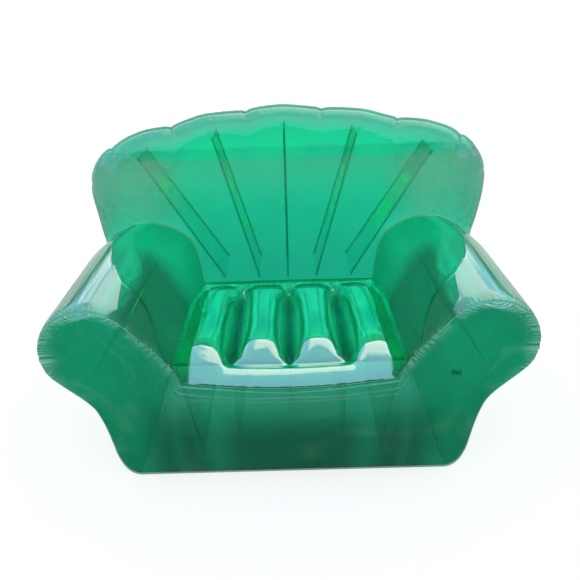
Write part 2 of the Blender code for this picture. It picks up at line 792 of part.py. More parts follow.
def valve_flange(name, frame):
    """The welded ring with a collar that guides the stem."""
    bore = STEM_RADIUS + VALVE_CLEAR
    turned(
        f"{name}_flange",
        [
            (bore, FLANGE_THICK),
            (FLANGE_RADIUS - FLANGE_THICK / 2, FLANGE_THICK),
            (FLANGE_RADIUS, FLANGE_THICK / 2),
            (FLANGE_RADIUS, 0),
            (COLLAR_RADIUS, 0),
            (COLLAR_RADIUS, -COLLAR_LENGTH),
            (bore, -COLLAR_LENGTH),
        ],
        frame,
    )


def valve_stem(name, frame):
    """The tube that is pulled out to blow and pushed flush in use. Its stop ring keeps it in."""
    rim = FLANGE_THICK + VALVE_CLEAR
    top = rim + STEM_RIM_THICK
    end = top - STEM_LENGTH
    turned(
        f"{name}_stem",
        [
            (STEM_BORE_RADIUS, top),
            (STEM_RIM_RADIUS, top),
            (STEM_RIM_RADIUS, rim),
            (STEM_RADIUS, rim),
            (STEM_RADIUS, end + STEM_STOP_THICK),
            (COLLAR_RADIUS - VALVE_CLEAR, end + STEM_STOP_THICK),
            (COLLAR_RADIUS - VALVE_CLEAR, end),
            (STEM_BORE_RADIUS, end),
        ],
        frame,
    )
    return top, end


def valve_cap(name, frame, top):
    """The plug cap with its pull tab."""
    seat = top + VALVE_CLEAR
    plug = STEM_BORE_RADIUS - VALVE_CLEAR
    cap = turned(
        f"{name}_cap",
        [
            (0, seat + CAP_THICK),
            (CAP_RADIUS - CAP_THICK / 2, seat + CAP_THICK),
            (CAP_RADIUS, seat + CAP_THICK / 2),
            (CAP_RADIUS, seat),
            (plug, seat),
            (plug, seat - PLUG_LENGTH * PLUG_TIP_SHARES[1]),
            (plug * PLUG_TIP_SHARES[0], seat - PLUG_LENGTH),
            (0, seat - PLUG_LENGTH),
        ],
        frame,
    )
    shape = bmesh.new()
    bmesh.ops.create_cube(shape, size=1)
    reach = CAP_RADIUS / 2
    bmesh.ops.scale(shape, verts=shape.verts, vec=(reach + CAP_TAB_LENGTH, 2 * CAP_TAB_HALF, CAP_THICK / 2))
    bmesh.ops.translate(
        shape,
        verts=shape.verts,
        vec=(CAP_RADIUS - reach / 2 + CAP_TAB_LENGTH / 2, 0, seat + CAP_THICK / 2),
    )
    tab = add_object(f"{name}_tab_form", shape, VALVE_VINYL)
    tab.parent = frame
    tab.hide_render = True
    tab.display_type = "WIRE"
    union = cap.modifiers.new("pull tab", "BOOLEAN")
    union.operation = "UNION"
    union.object = tab


def valve_flap(name, frame, end):
    """The check flap under the stem's inner end, on its hinge line at one edge."""
    radius = STEM_BORE_RADIUS + FLAP_LAP
    hinge = bpy.data.objects.new(f"{name}_flap_hinge", None)
    hinge.parent = frame
    hinge.location = (0, radius, end - VALVE_CLEAR)
    bpy.context.scene.collection.objects.link(hinge)
    flap = turned(
        f"{name}_flap",
        [(0, 0), (radius, 0), (radius, -FLAP_THICK), (0, -FLAP_THICK)],
        hinge,
    )
    flap.data.transform(Matrix.Translation((0, -radius, 0)))


def valve(name, skin, start, heading):
    """A whole valve on a skin, found by looking along a heading from a start point."""
    frame = valve_frame(name, skin, start, heading)
    cut_hole(skin, frame, name)
    valve_flange(name, frame)
    top, end = valve_stem(name, frame)
    valve_cap(name, frame, top)
    valve_flap(name, frame, end)


def centre_on_floor():
    """Puts the origin under the middle of the sofa, on the floor."""
    graph = bpy.context.evaluated_depsgraph_get()
    low, high = Vector((math.inf,) * 3), Vector((-math.inf,) * 3)
    for obj in bpy.context.scene.objects:
        if obj.type != "MESH" or obj.hide_render:
            continue
        shaped = obj.evaluated_get(graph)
        for corner in shaped.bound_box:
            place = shaped.matrix_world @ Vector(corner)
            low = Vector(map(min, low, place))
            high = Vector(map(max, high, place))
    for obj in bpy.context.scene.objects:
        if obj.parent is None:
            obj.location.y -= (low.y + high.y) / 2


def main():
    clear_scene()
    backrest = Backrest()
    front_skin = backrest_skin(backrest, "backrest_front_skin", -1)
    rear_skin = backrest_skin(backrest, "backrest_rear_skin", 1)
    for index, name in enumerate(RIB_NAMES):
        backrest_rib(backrest, index, name)
    bpy.context.view_layer.update()
    reach = Reach(front_skin)
    front_panel()
    wraps = {}
    for name, side in (("left", -1), ("right", 1)):
        rows = wrap_rows(side, reach)
        wraps[name] = arm_wrap(f"{name}_arm_wrap", side, rows)
        side_web(f"{name}_side_web", side)
        arm_web(f"{name}_arm_web", side, rows)
    bottom_panel(reach)
    seat = Seat(reach)
    seat_panel(seat)
    for index, name in enumerate(("left", "middle", "right")):
        seat_rib(seat, index, name)
    bpy.context.view_layer.update()
    beside = Vector((BACK_WIDE_HALF * 2, VALVE_DEPTH, VALVE_HEIGHT))
    behind = Vector((BACK_VALVE_SIDE_SHARE * BASE_SIDE_HALF, BACK_SEAT_DEPTH * 2, BACK_VALVE_HEIGHT))
    valve("base_valve", wraps["right"], beside, Vector((-1, 0, 0)))
    valve("back_valve", rear_skin, behind, Vector((0, -1, 0)))
    bpy.context.view_layer.update()
    centre_on_floor()


main()
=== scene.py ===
"""Looks of the inflatable sofa: clear green film sheets, their welded seams, inner webs and valves.

Metres, +Z up, the sitter faces -Y. Each film sheet is a grid shaped point by point, given the
film's thickness, and dressed in a clear, glossy finish. Depths are counted from the front weld.
"""

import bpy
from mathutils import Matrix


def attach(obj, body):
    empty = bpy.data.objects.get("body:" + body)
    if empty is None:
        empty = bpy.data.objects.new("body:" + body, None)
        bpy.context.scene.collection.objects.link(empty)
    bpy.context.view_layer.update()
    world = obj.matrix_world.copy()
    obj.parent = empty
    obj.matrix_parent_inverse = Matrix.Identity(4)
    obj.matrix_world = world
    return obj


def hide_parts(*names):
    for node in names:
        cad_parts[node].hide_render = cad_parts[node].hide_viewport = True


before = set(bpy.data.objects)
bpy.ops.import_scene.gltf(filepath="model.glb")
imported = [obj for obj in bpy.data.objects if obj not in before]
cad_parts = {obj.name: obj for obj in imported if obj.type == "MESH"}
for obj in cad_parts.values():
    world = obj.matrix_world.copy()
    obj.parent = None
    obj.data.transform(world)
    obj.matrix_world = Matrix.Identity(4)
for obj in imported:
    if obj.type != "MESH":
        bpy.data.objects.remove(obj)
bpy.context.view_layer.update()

import logging
import math
from collections.abc import Iterator, Sequence
from contextlib import contextmanager
from dataclasses import dataclass, field, replace
from enum import Enum

import bpy
import numpy as np
from mathutils import Matrix, Vector
from mathutils.bvhtree import BVHTree

Array = np.ndarray
Colour = tuple[float, float, float]

LOG = logging.getLogger("inflatable_sofa")
BODY = "sofa"
FRONT_WELD = np.array((0, -0.35242543, 0))
FILM = 0.0004
WELD_GAP = 0.0003
SKIN_CLEAR = 0.0006
MERGE_REACH = 0.00002
CORNER_CURVE = (0.62, 0), (0.88, 0.52)
SIDE_CURVE = (0.28, 0.40), (0.50, 0.72)
LOOKS = ("milk", "deep", "dull", "thin")
FIN_SHARES = (0.35, 0.7, 1.0)
WEB_COLUMNS = 25
WEB_WELD = 0.0018
FLOOR_CLEAR = 0.0010


class Side(Enum):
    """The two sides of the sofa, as signs along X."""

    LEFT = -1
    RIGHT = 1

    @property
    def label(self) -> str:
        """The side's name in small letters."""
        return self.name.lower()


class Face(Enum):
    """The two skins of the backrest, as signs along Y."""

    FRONT = -1
    REAR = 1


class Wall(Enum):
    """Where a sheet's shaped points lie in the film's thickness."""

    OUTER = -1
    MIDDLE = 0
    INNER = 1


# Shape maths


def mix(low, high, share):
    """The value or point that lies this share of the way from low to high."""
    return low + (high - low) * share


def smooth(share: Array) -> Array:
    """Rises from 0 to 1 with level ends."""
    share = np.clip(share, 0, 1)
    return share * share * (3 - 2 * share)


def quarter_round(share: Array) -> Array:
    """Rises from 0 to 1 like a quarter of a circle, steep at first."""
    return np.sqrt(1 - (1 - np.clip(share, 0, 1)) ** 2)


def sine_rise(share: Array) -> Array:
    """Rises from 0 to 1 like a quarter of a sine wave."""
    return np.sin(np.clip(share, 0, 1) * math.pi / 2)


def bell(distance: Array, width: Array) -> Array:
    """Is 1 at no distance and falls away like a bell."""
    return np.exp(-((distance / width) ** 2))


def curve(start: Array, end: Array, shares: Sequence[Sequence[float]], count: int) -> Array:
    """Points along a cubic curve, without its last one.

    Args:
        start: First point, or an array of them with (x, z) in its last axis.
        end: Last point, in the same form.
        shares: The two handles, as shares of the way across and up.
        count: How many points.

    Returns:
        The points, with one more axis before the last.
    """
    start, end = np.broadcast_arrays(np.asarray(start, float), np.asarray(end, float))
    first, second = (start + (end - start) * np.array(share) for share in shares)
    return bezier(start, first, second, end, count)


def bezier(start: Array, first: Array, second: Array, end: Array, count: int) -> Array:
    """Points along a cubic curve given by its end points and handles, without its last one."""
    t = (np.arange(count) / count)[:, None]
    start, first, second, end = (np.asarray(p)[..., None, :] for p in (start, first, second, end))
    return start * (1 - t) ** 3 + first * 3 * t * (1 - t) ** 2 + second * 3 * t * t * (1 - t) + end * t**3


def together(*measures: Array | float) -> Array:
    """Points made of their measures, which are spread to one shape first."""
    return np.stack(np.broadcast_arrays(*measures), -1)


def polar(angle: Array, radius: Array) -> Array:
    """Points (x, z) at an angle from straight up and a distance."""
    return together(radius * np.sin(angle), radius * np.cos(angle))


def run_length(points: Array) -> Array:
    """How far along a line of points each of them lies."""
    steps = np.linalg.norm(np.diff(points, axis=0), axis=-1)
    return np.concatenate([[0], np.cumsum(steps)])


def with_fin(values: Array, on_fin: float) -> Array:
    """Values on a skin's rings, with one value for the rows of its fin, and closed all round."""
    rows = np.concatenate([values, np.full((len(FIN_SHARES), values.shape[1]), on_fin)])
    return np.concatenate([rows, rows[:, :1]], axis=1)


def distance_to_loop(points: Array, loop: Array) -> Array:
    """How far each point (x, z) lies from a closed loop of points."""
    starts, runs = loop, np.roll(loop, -1, 0) - loop
    lengths = (runs**2).sum(1) + 1e-12
    found = []
    for part in np.array_split(points.reshape(-1, 2), 40):
        offsets = part[:, None] - starts[None]
        along = np.clip((offsets * runs).sum(-1) / lengths, 0, 1)
        found.append(np.linalg.norm(offsets - along[..., None] * runs, axis=-1).min(1))
    return np.concatenate(found).reshape(points.shape[:-1])


@dataclass(frozen=True)
class Gathers:
    """Irregular gathers along a welded seam, the same each time.

    Attributes:
        seed: Which run of gathers.
        pitch: Mean distance between two folds.
        uneven: How far the folds stray, as a share of the pitch.
    """

    seed: int
    pitch: float
    uneven: float = 0.55

    def at(self, run: Array) -> Array:
        """Height of the gathers at this distance along the seam, from about -0.7 to 0.4."""
        draw = np.random.default_rng(self.seed)
        stray = np.zeros_like(run)
        size = np.full_like(run, 0.7)
        for _ in range(5):
            stray = stray + draw.uniform(0.15, 0.5) * np.sin(
                run / self.pitch * draw.uniform(0.4, 1.9) + draw.uniform(0, math.tau)
            )
            size = size + 0.12 * np.sin(run / self.pitch * draw.uniform(0.5, 2.3) + draw.uniform(0, math.tau))
        fold = np.abs(np.sin(math.pi * (run / self.pitch + self.uneven * stray)))
        return (fold**0.7 - 0.62) * size


@dataclass(frozen=True)
class Crinkles:
    """Small sharp creases that cross each other, as film shows where it is pulled askew."""

    seed: int
    pitch: float
    layers: int = 4

    def at(self, across: Array, along: Array) -> Array:
        """Height of the creases at these places, from -1 in a crease to 0."""
        draw = np.random.default_rng(self.seed)
        height = np.zeros(np.broadcast(across, along).shape)
        for step in range(self.layers):
            turn = draw.uniform(0, math.pi)
            pitch = self.pitch * draw.uniform(0.7, 1.8)
            run = (across * math.cos(turn) + along * math.sin(turn)) / pitch
            side = (along * math.cos(turn) - across * math.sin(turn)) / pitch
            run = run + 0.6 * np.sin(side * draw.uniform(0.5, 1.4) + draw.uniform(0, math.tau))
            height -= np.maximum(0, 1 - np.abs((run % 2) - 1) * 4) * (0.5 + 0.5 * np.sin(side + step))
        return height / self.layers


# Shader building


class Signal:
    """A value in a material. Used in an expression, it adds the Math nodes that the sum needs."""

    def __init__(self, nodes: "NodeDesk", socket: bpy.types.NodeSocket) -> None:
        """Wraps an output socket."""
        self.nodes = nodes
        self.socket = socket

    def math(self, operation: str, *values: "Signal | float") -> "Signal":
        """The result of one Math node on this value and others."""
        sources = {index: value for index, value in enumerate((self, *values))}
        node = self.nodes.add("ShaderNodeMath", {"operation": operation}, sources)
        return Signal(self.nodes, node.outputs[0])

    def __add__(self, other: "Signal | float") -> "Signal":
        """This value plus another."""
        return self.math("ADD", other)

    __radd__ = __add__

    def __mul__(self, other: "Signal | float") -> "Signal":
        """This value times another."""
        return self.math("MULTIPLY", other)

    __rmul__ = __mul__

    def __sub__(self, other: "Signal | float") -> "Signal":
        """This value less another."""
        return self.math("SUBTRACT", other)

    def __rsub__(self, other: float) -> "Signal":
        """A number less this value."""
        return (self * -1) + other

    def kept(self, low: float = 0.0, high: float = 1.0) -> "Signal":
        """This value, kept between two limits."""
        return self.math("MAXIMUM", low).math("MINIMUM", high)

    def step(self, low: float, high: float) -> "Signal":
        """Rises smoothly from 0 to 1 as this value goes from low to high."""
        inputs = {"Value": self, "From Min": low, "From Max": high}
        node = self.nodes.add("ShaderNodeMapRange", {"interpolation_type": "SMOOTHSTEP"}, inputs)
        return Signal(self.nodes, node.outputs[0])


class NodeDesk:
    """Adds nodes to one node tree."""

    def __init__(self, tree: bpy.types.NodeTree) -> None:
        """Starts with an empty tree."""
        self.tree = tree
        tree.nodes.clear()

    def add(self, kind: str, settings: dict | None = None, inputs: dict | None = None) -> bpy.types.Node:
        """Adds a node.

        Args:
            kind: The node's type.
            settings: Properties to set first.
            inputs: Values or links of its sockets, by name or number.

        Returns:
            The new node.
        """
        node = self.tree.nodes.new(kind)
        for name, value in (settings or {}).items():
            setattr(node, name, value)
        for name, value in (inputs or {}).items():
            socket = node.inputs[name]
            if isinstance(value, Signal):
                value = value.socket
            if isinstance(value, bpy.types.Node):
                value = value.outputs[0]
            if isinstance(value, bpy.types.NodeSocket):
                self.tree.links.new(value, socket)
            else:
                socket.default_value = value
        return node

    def signal(
        self, kind: str, settings: dict | None = None, inputs: dict | None = None, output: int | str = 0
    ) -> Signal:
        """A node's output as a value for expressions."""
        return Signal(self, self.add(kind, settings, inputs).outputs[output])

    def noise(
        self, place: bpy.types.NodeSocket, scale: float, detail: float, roughness: float = 0.5
    ) -> Signal:
        """Soft noise over these places."""
        inputs = {"Vector": place, "Scale": scale, "Detail": detail, "Roughness": roughness}
        return self.signal("ShaderNodeTexNoise", None, inputs)

    def blend(self, factor: Signal | float, first: bpy.types.Node, second: bpy.types.Node) -> bpy.types.Node:
        """A Mix Shader between two shaders."""
        return self.add("ShaderNodeMixShader", None, {0: factor, 1: first, 2: second})

    def clear(self, tint: Sequence[float]) -> bpy.types.Node:
        """A shader that lets light through with this tint."""
        return self.add("ShaderNodeBsdfTransparent", None, {"Color": (*tint, 1)})

    def glow(self, colour: Sequence[float] | bpy.types.NodeSocket, strength: float = 1.0) -> bpy.types.Node:
        """A shader that gives off light."""
        return self.add("ShaderNodeEmission", None, {"Color": colour, "Strength": strength})

    def surface(self, shader: bpy.types.Node) -> None:
        """Makes this shader the material's surface."""
        self.add("ShaderNodeOutputMaterial", None, {"Surface": shader})

    def colours(
        self,
        factor: Signal | float,
        first: Colour | bpy.types.NodeSocket,
        second: Colour | bpy.types.NodeSocket,
    ) -> bpy.types.NodeSocket:
        """A colour between two colours or colour outputs, by a factor."""
        first, second = ((*colour, 1) if isinstance(colour, tuple) else colour for colour in (first, second))
        return self.add("ShaderNodeMix", {"data_type": "RGBA"}, {0: factor, 6: first, 7: second}).outputs[2]


def new_material(name: str, glows: bool = False) -> tuple[bpy.types.Material, NodeDesk]:
    """A new material and the desk of its empty node tree.

    Args:
        name: The material's name.
        glows: Whether it emits light, which is then left out of the search for lamps.

    Returns:
        The material and its desk.
    """
    made = bpy.data.materials.new(name)
    made.use_nodes = True
    if glows:
        made.cycles.emission_sampling = "NONE"
    return made, NodeDesk(made.node_tree)


@dataclass(frozen=True)
class FilmFinish:
    """Clear green film.

    Attributes:
        name: The material's name.
        tint: What one wall lets through, as linear red, green and blue.
        deep_tint: The same where the film is doubled or seen through more of it, and where shade or a
            reflection is painted in.
        milk: Colour of its faint scatter, which on some sheets also paints sheen, reflections and glints.
        haze: Share of scatter all over.
        bloom: Further scatter where the sheet's "milk" attribute is 1.
        clouding: How much the scatter and tint vary from place to place.
        gloss: How strongly it mirrors, 1 for one surface of clear vinyl, where "dull" isn't set.
        mirror_limit: The most that it mirrors at a glancing view.
        vinyl_index: Refractive index for the change with the angle.
        roughness: Of its mirror image.
        ripple: Height of its finest waves, in metres.
        ripple_pitch: How many of them in a metre.
        tone_height: Height below which the film shows deeper and veiled, or 0 for none. This is a painted
            reflection: it stands for a hazy sky mirrored below that height.
        tone_depth: How much deeper it shows there.
        tone_veil: Scatter just below that height.
        thin_tint: What one wall lets through where the sheet's "thin" attribute is 1.
        glow: Light that the scatter gives off: a painted glint where the sheet's "milk" attribute is set.
    """

    name: str
    tint: Colour
    deep_tint: Colour
    milk: Colour = (0.30, 0.62, 0.50)
    haze: float = 0.02
    bloom: float = 0.30
    clouding: float = 0.5
    gloss: float = 2.0
    mirror_limit: float = 0.75
    vinyl_index: float = 1.53
    roughness: float = 0.035
    ripple: float = 0.0002
    ripple_pitch: float = 22.0
    tone_height: float = 0.0
    tone_depth: float = 0.34
    tone_veil: float = 0.16
    thin_tint: Colour = (0.50, 0.93, 0.80)
    glow: float = 0.0

    def clear(self, desk: NodeDesk, wall_tint: Colour) -> bpy.types.Node:
        """A clear shader for each of a wall's two faces, which together let the wall's tint through."""
        return desk.clear([math.sqrt(part) for part in wall_tint])

    def scatter(self, desk: NodeDesk) -> bpy.types.Node:
        """The milky part, which sends light to both sides."""
        colour = (*self.milk, 1)
        both = desk.blend(
            0.45,
            desk.add("ShaderNodeBsdfDiffuse", None, {"Color": colour}),
            desk.add("ShaderNodeBsdfTranslucent", None, {"Color": colour}),
        )
        if not self.glow:
            return both
        # Painted glint: the scatter also gives off light.
        return desk.add("ShaderNodeAddShader", None, {0: both, 1: desk.glow(colour, self.glow)})

    def material(self) -> bpy.types.Material:
        """The finish's material, made once."""
        made = bpy.data.materials.get(self.name)
        if made:
            return made
        made, desk = new_material(self.name, self.glow > 0)
        place = desk.add("ShaderNodeTexCoord").outputs["Object"]
        near = 1 - desk.signal("ShaderNodeNewGeometry", output="Backfacing")
        patch = desk.noise(place, 5.5, 3.0, 0.6).step(0.36, 0.66)
        milk, deep, dull, thin = (
            desk.signal("ShaderNodeAttribute", {"attribute_name": name}, output="Fac") for name in LOOKS
        )
        veil = 0.0
        # Below tone_height: deeper, veiled film, a painted reflection of hazy sky.
        if self.tone_height:
            height = desk.signal("ShaderNodeSeparateXYZ", None, {0: place}, output=2)
            below = 1 - height.step(self.tone_height - 0.006, self.tone_height + 0.004)
            deep = deep + below * self.tone_depth
            veil = below * height.step(self.tone_height - 0.15, self.tone_height - 0.02) * self.tone_veil
        depth = (deep + patch * (0.35 * self.clouding)).kept()
        film = desk.blend(depth, self.clear(desk, self.tint), self.clear(desk, self.deep_tint))
        film = desk.blend(thin, film, self.clear(desk, self.thin_tint))
        share = (patch * self.clouding + (1 - self.clouding)) * (milk * self.bloom + veil + self.haze)
        hazed = desk.blend((share * near).kept(), film, self.scatter(desk))
        waves = desk.noise(place, self.ripple_pitch, 2.0)
        bump = desk.add("ShaderNodeBump", None, {"Strength": 1.0, "Distance": self.ripple, "Height": waves})
        mirror = desk.signal("ShaderNodeFresnel", None, {"IOR": self.vinyl_index, "Normal": bump})
        shine = {"Roughness": self.roughness, "Normal": bump}
        glossy = desk.add("ShaderNodeBsdfGlossy", {"distribution": "GGX"}, shine)
        factor = (mirror * self.gloss).kept(0, self.mirror_limit) * near * (1 - dull)
        desk.surface(desk.blend(factor, hazed, glossy))
        return made


@dataclass(frozen=True)
class VinylFinish:
    """Moulded valve vinyl: soft gloss, a little cloudy, and partly clear.

    Attributes:
        name: The material's name.
        light: Its paler colour.
        dark: Its deeper colour.
        seen_through: What its clear part lets through.
        body: Share of the part that isn't clear.
    """

    name: str = "moulded_valve_vinyl"
    light: Colour = (0.12, 0.72, 0.50)
    dark: Colour = (0.06, 0.52, 0.34)
    seen_through: Colour = (0.88, 0.98, 0.95)
    body: float = 0.25

    def material(self) -> bpy.types.Material:
        """The finish's material."""
        made, desk = new_material(self.name)
        place = desk.add("ShaderNodeTexCoord").outputs["Object"]
        cloud, grain = desk.noise(place, 160.0, 4.0), desk.noise(place, 900.0, 2.0)
        bump = desk.add("ShaderNodeBump", None, {"Strength": 0.4, "Distance": 0.0001, "Height": grain})
        look = {
            "Base Color": desk.colours(cloud.step(0.3, 0.7), self.dark, self.light),
            "Roughness": cloud * 0.15 + 0.22,
            "Normal": bump,
            "Coat Weight": 0.3,
        }
        solid = desk.add("ShaderNodeBsdfPrincipled", None, look)
        desk.surface(desk.blend(self.body, desk.clear(self.seen_through), solid))
        return made


# Backrest film. Its tone_height paints a reflection of hazy sky below that height; its milk colour also carries
# the painted sheen and reflections set in Backrest.dress.
SKIN_FILM = FilmFinish(
    name="backrest_film",
    tint=(0.108, 0.80, 0.540),
    deep_tint=(0.085, 0.57, 0.455),
    milk=(0.42, 0.62, 0.50),
    haze=0.015,
    bloom=0.75,
    clouding=0.35,
    gloss=0.5,
    tone_height=0.702,
)
# Seat film: its deep tint serves the welds and paints shade where the sheet lies low, in the grooves and at the
# front.
SEAT_FILM = FilmFinish(
    name="seat_film",
    tint=(0.033, 0.75, 0.32),
    deep_tint=(0.035, 0.30, 0.20),
    haze=0.01,
    clouding=0.35,
    gloss=2.15,
    vinyl_index=1.65,
    ripple=0.0001,
    ripple_pitch=14.0,
)
# Front film: its very dark deep tint serves the welds and, mostly, the painted shade of the base.
FRONT_FILM = FilmFinish(
    name="front_film",
    tint=(0.052, 0.545, 0.380),
    deep_tint=(0.020, 0.185, 0.118),
    milk=(0.42, 0.78, 0.66),
    haze=0.01,
    bloom=0.80,
    clouding=0.3,
    gloss=1.3,
    mirror_limit=0.30,
    vinyl_index=1.45,
)
# Arm film: its deep tint paints shade on the arm's inner side and darkens the crown and outer side; its milk
# colour also paints pale reflection streaks along the outer rim.
ARM_FILM = FilmFinish(
    name="arm_film",
    tint=(0.085, 0.80, 0.57),
    deep_tint=(0.12, 0.33, 0.23),
    milk=(0.56, 0.72, 0.60),
    haze=0.015,
    bloom=0.70,
    clouding=0.3,
    gloss=0.95,
    vinyl_index=1.6,
    ripple=0.0001,
)
BOTTOM_FILM = FilmFinish(
    name="bottom_film",
    tint=(0.35, 0.60, 0.52),
    deep_tint=(0.30, 0.50, 0.45),
    haze=0.01,
    bloom=0.1,
    gloss=0.6,
)
# Web film: its bright green milk colour and glow paint glints on the webs, and faintly along their welded
# edges.
WEB_FILM = FilmFinish(
    name="web_film",
    tint=(0.72, 0.96, 0.91),
    deep_tint=(0.42, 0.72, 0.62),
    milk=(0.05, 0.95, 0.42),
    haze=0.01,
    clouding=0.3,
    gloss=0.6,
    bloom=0.9,
    glow=0.30,
)
# Slanting arm webs: a stronger glow paints a bright green glint line.
ARM_WEB_FILM = replace(WEB_FILM, name="arm_web_film", glow=2.2)
WELD_FILM = FilmFinish(
    name="weld_film",
    tint=(0.42, 0.70, 0.60),
    deep_tint=(0.32, 0.58, 0.49),
    haze=0.03,
    gloss=1.2,
)


# Sheets of film


def select_only(*chosen: bpy.types.Object) -> None:
    """Selects these objects and nothing else, and makes the first one active."""
    bpy.ops.object.select_all(action="DESELECT")
    for obj in chosen:
        obj.select_set(True)
    bpy.context.view_layer.objects.active = chosen[0] if chosen else None


@contextmanager
def edit_mode() -> Iterator[None]:
    """Edit mode of the active object, as long as the block runs."""
    bpy.ops.object.mode_set(mode="EDIT")
    yield
    bpy.ops.object.mode_set(mode="OBJECT")


def normals_of(points: Array, inside: Array) -> Array:
    """Unit normals over a grid of points, turned away from a point inside."""
    down = np.gradient(points, axis=0)
    across = np.gradient(points, axis=1)
    normals = np.cross(down, across)
    normals /= np.linalg.norm(normals, axis=-1, keepdims=True) + 1e-12
    if ((points - inside) * normals).sum() < 0:
        normals = -normals
    return normals


def read(elements: bpy.types.bpy_prop_collection, name: str, width: int = 1) -> Array:
    """One property of a mesh's vertices, faces or attribute values, as an array."""
    values = np.empty(len(elements) * width)
    elements.foreach_get(name, values)
    return values.reshape(-1, width) if width > 1 else values


class ValveSeat:
    """Where a valve's flange sits on a sheet: the film lies flat under it and is open in its middle."""

    flange_thick = 0.0012
    hole_radius = 0.0097
    hole_depth = 0.01
    flat_radius = 0.018
    flat_ease = 0.024
    flat_depth = 0.02

    def __init__(self, valve: str) -> None:
        """Reads the flange's place and axis from its solid.

        Args:
            valve: The valve's name.
        """
        points = read(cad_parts[f"{valve}_flange"].data.vertices, "co", 3)
        self.centre = (points.min(0) + points.max(0)) / 2
        self.axis = np.linalg.svd(points - points.mean(0), full_matrices=False)[2][2]
        away = self.centre * np.array((1, 1, 0)) if valve == "base_valve" else np.array((0, 1, 0))
        if away @ self.axis < 0:
            self.axis = -self.axis
        top = ((points - self.centre) @ self.axis).max()
        self.base = self.centre + self.axis * (top - self.flange_thick - WELD_GAP)

    def aside(self, points: Array) -> tuple[Array, Array]:
        """Each point's height over the flange's underside and its distance from the axis."""
        offset = points - self.base
        rise = offset @ self.axis
        return rise, np.linalg.norm(offset - rise[..., None] * self.axis, axis=-1)

    def flatten(self, points: Array) -> Array:
        """Draws a sheet's points, counted from the front weld, onto the flange's underside."""
        rise, aside = self.aside(points + FRONT_WELD)
        hold = smooth((self.flat_radius + self.flat_ease - aside) / self.flat_ease)
        hold = hold * (np.abs(rise) < self.flat_depth)
        return points - (rise * hold)[..., None] * self.axis

    def open(self, sheet: bpy.types.Object) -> None:
        """Takes out the film within the flange's collar."""
        rise, aside = self.aside(read(sheet.data.vertices, "co", 3))
        chosen = (aside < self.hole_radius) & (np.abs(rise) < self.hole_depth)
        sheet.data.vertices.foreach_set("select", chosen)
        with edit_mode():
            bpy.ops.mesh.delete(type="VERT")


@dataclass
class Sheet:
    """One sheet of film, as a grid of points with its haze and depth of colour.

    Attributes:
        name: The piece's name.
        points: Grid of points, counted from the front weld, (rows, columns, 3).
        inside: A point on the side that the film's outer face looks away from.
        finish: What it is made of.
        wall: Which side of the film the points are.
        milk: Scatter at each point, 0 to 1.
        deep: Depth of colour at each point, 0 to 1.
        dull: How much of the mirror image is missing at each point, 0 to 1.
        thin: How much clearer the film is at each point, 0 to 1.
        thickness: Of the film.
        hole: The valve seat that opens the sheet.
        inner_dull: How much of the mirror image its inner face lacks.
    """

    name: str
    points: Array
    inside: Sequence[float]
    finish: FilmFinish
    wall: Wall = Wall.OUTER
    milk: Array | float = 0.0
    deep: Array | float = 0.0
    dull: Array | float = 0.0
    thin: Array | float = 0.0
    thickness: float = FILM
    hole: ValveSeat | None = None
    inner_dull: float = 0.9

    def take_valve(self, valve: str) -> None:
        """Lays the sheet flat under a valve's flange, where it will be open."""
        self.hole = ValveSeat(valve)
        self.points = self.hole.flatten(self.points)

    def push(self, height: Array) -> None:
        """Moves each point outwards by a height."""
        self.points = self.points + normals_of(self.points, np.array(self.inside)) * height[..., None]

    def build(self) -> bpy.types.Object:
        """Makes the sheet: a grid primitive, its points put in place, welded up and thickened."""
        rows, columns = self.points.shape[:2]
        select_only()
        bpy.ops.mesh.primitive_grid_add(x_subdivisions=columns - 1, y_subdivisions=rows - 1, size=1)
        sheet = bpy.context.active_object
        sheet.name = self.name
        sheet.data.name = self.name
        placed = (self.points + FRONT_WELD).astype(np.float32)
        sheet.data.vertices.foreach_set("co", placed.ravel())
        for name in LOOKS:
            attribute = sheet.data.attributes.new(name, "FLOAT", "POINT")
            values = np.broadcast_to(np.clip(getattr(self, name), 0, 1), (rows, columns))
            attribute.data.foreach_set("value", values.astype(np.float32).ravel())
        sheet.data.update()
        with edit_mode():
            bpy.ops.mesh.select_all(action="SELECT")
            bpy.ops.mesh.remove_doubles(threshold=MERGE_REACH)
            bpy.ops.mesh.select_all(action="DESELECT")
        if self.hole:
            self.hole.open(sheet)
        if self.looks_in(sheet.data):
            with edit_mode():
                bpy.ops.mesh.select_all(action="SELECT")
                bpy.ops.mesh.flip_normals()
        sheet.data.materials.append(self.finish.material())
        bpy.ops.object.modifier_add(type="SOLIDIFY")
        film = sheet.modifiers[-1]
        film.thickness = self.thickness
        film.offset = self.wall.value
        bpy.ops.object.modifier_apply(modifier=film.name)
        bpy.ops.object.shade_smooth_by_angle(angle=math.radians(60))
        if self.wall is not Wall.MIDDLE:
            self.dull_inner_wall(sheet.data)
        return sheet

    def middle(self) -> Array:
        """The point inside, in the scene's own measure."""
        return np.array(self.inside) + FRONT_WELD

    def dull_inner_wall(self, mesh: bpy.types.Mesh) -> None:
        """Takes most of the mirror image off the inner face: the half of the points that lies nearer inside."""
        first, second = read(mesh.vertices, "co", 3).reshape(2, -1, 3)
        values = mesh.attributes["dull"].data
        halves = read(values, "value").reshape(2, -1)
        inner = 0 if ((second - first) * (first - self.middle())).sum() > 0 else 1
        halves[inner] = np.maximum(halves[inner], self.inner_dull)
        values.foreach_set("value", halves.ravel())

    def looks_in(self, mesh: bpy.types.Mesh) -> bool:
        """Whether most of the sheet's faces look towards its inside."""
        faces = mesh.polygons
        away = ((read(faces, "center", 3) - self.middle()) * read(faces, "normal", 3)).sum(1)
        return float((away * read(faces, "area")).sum()) < 0


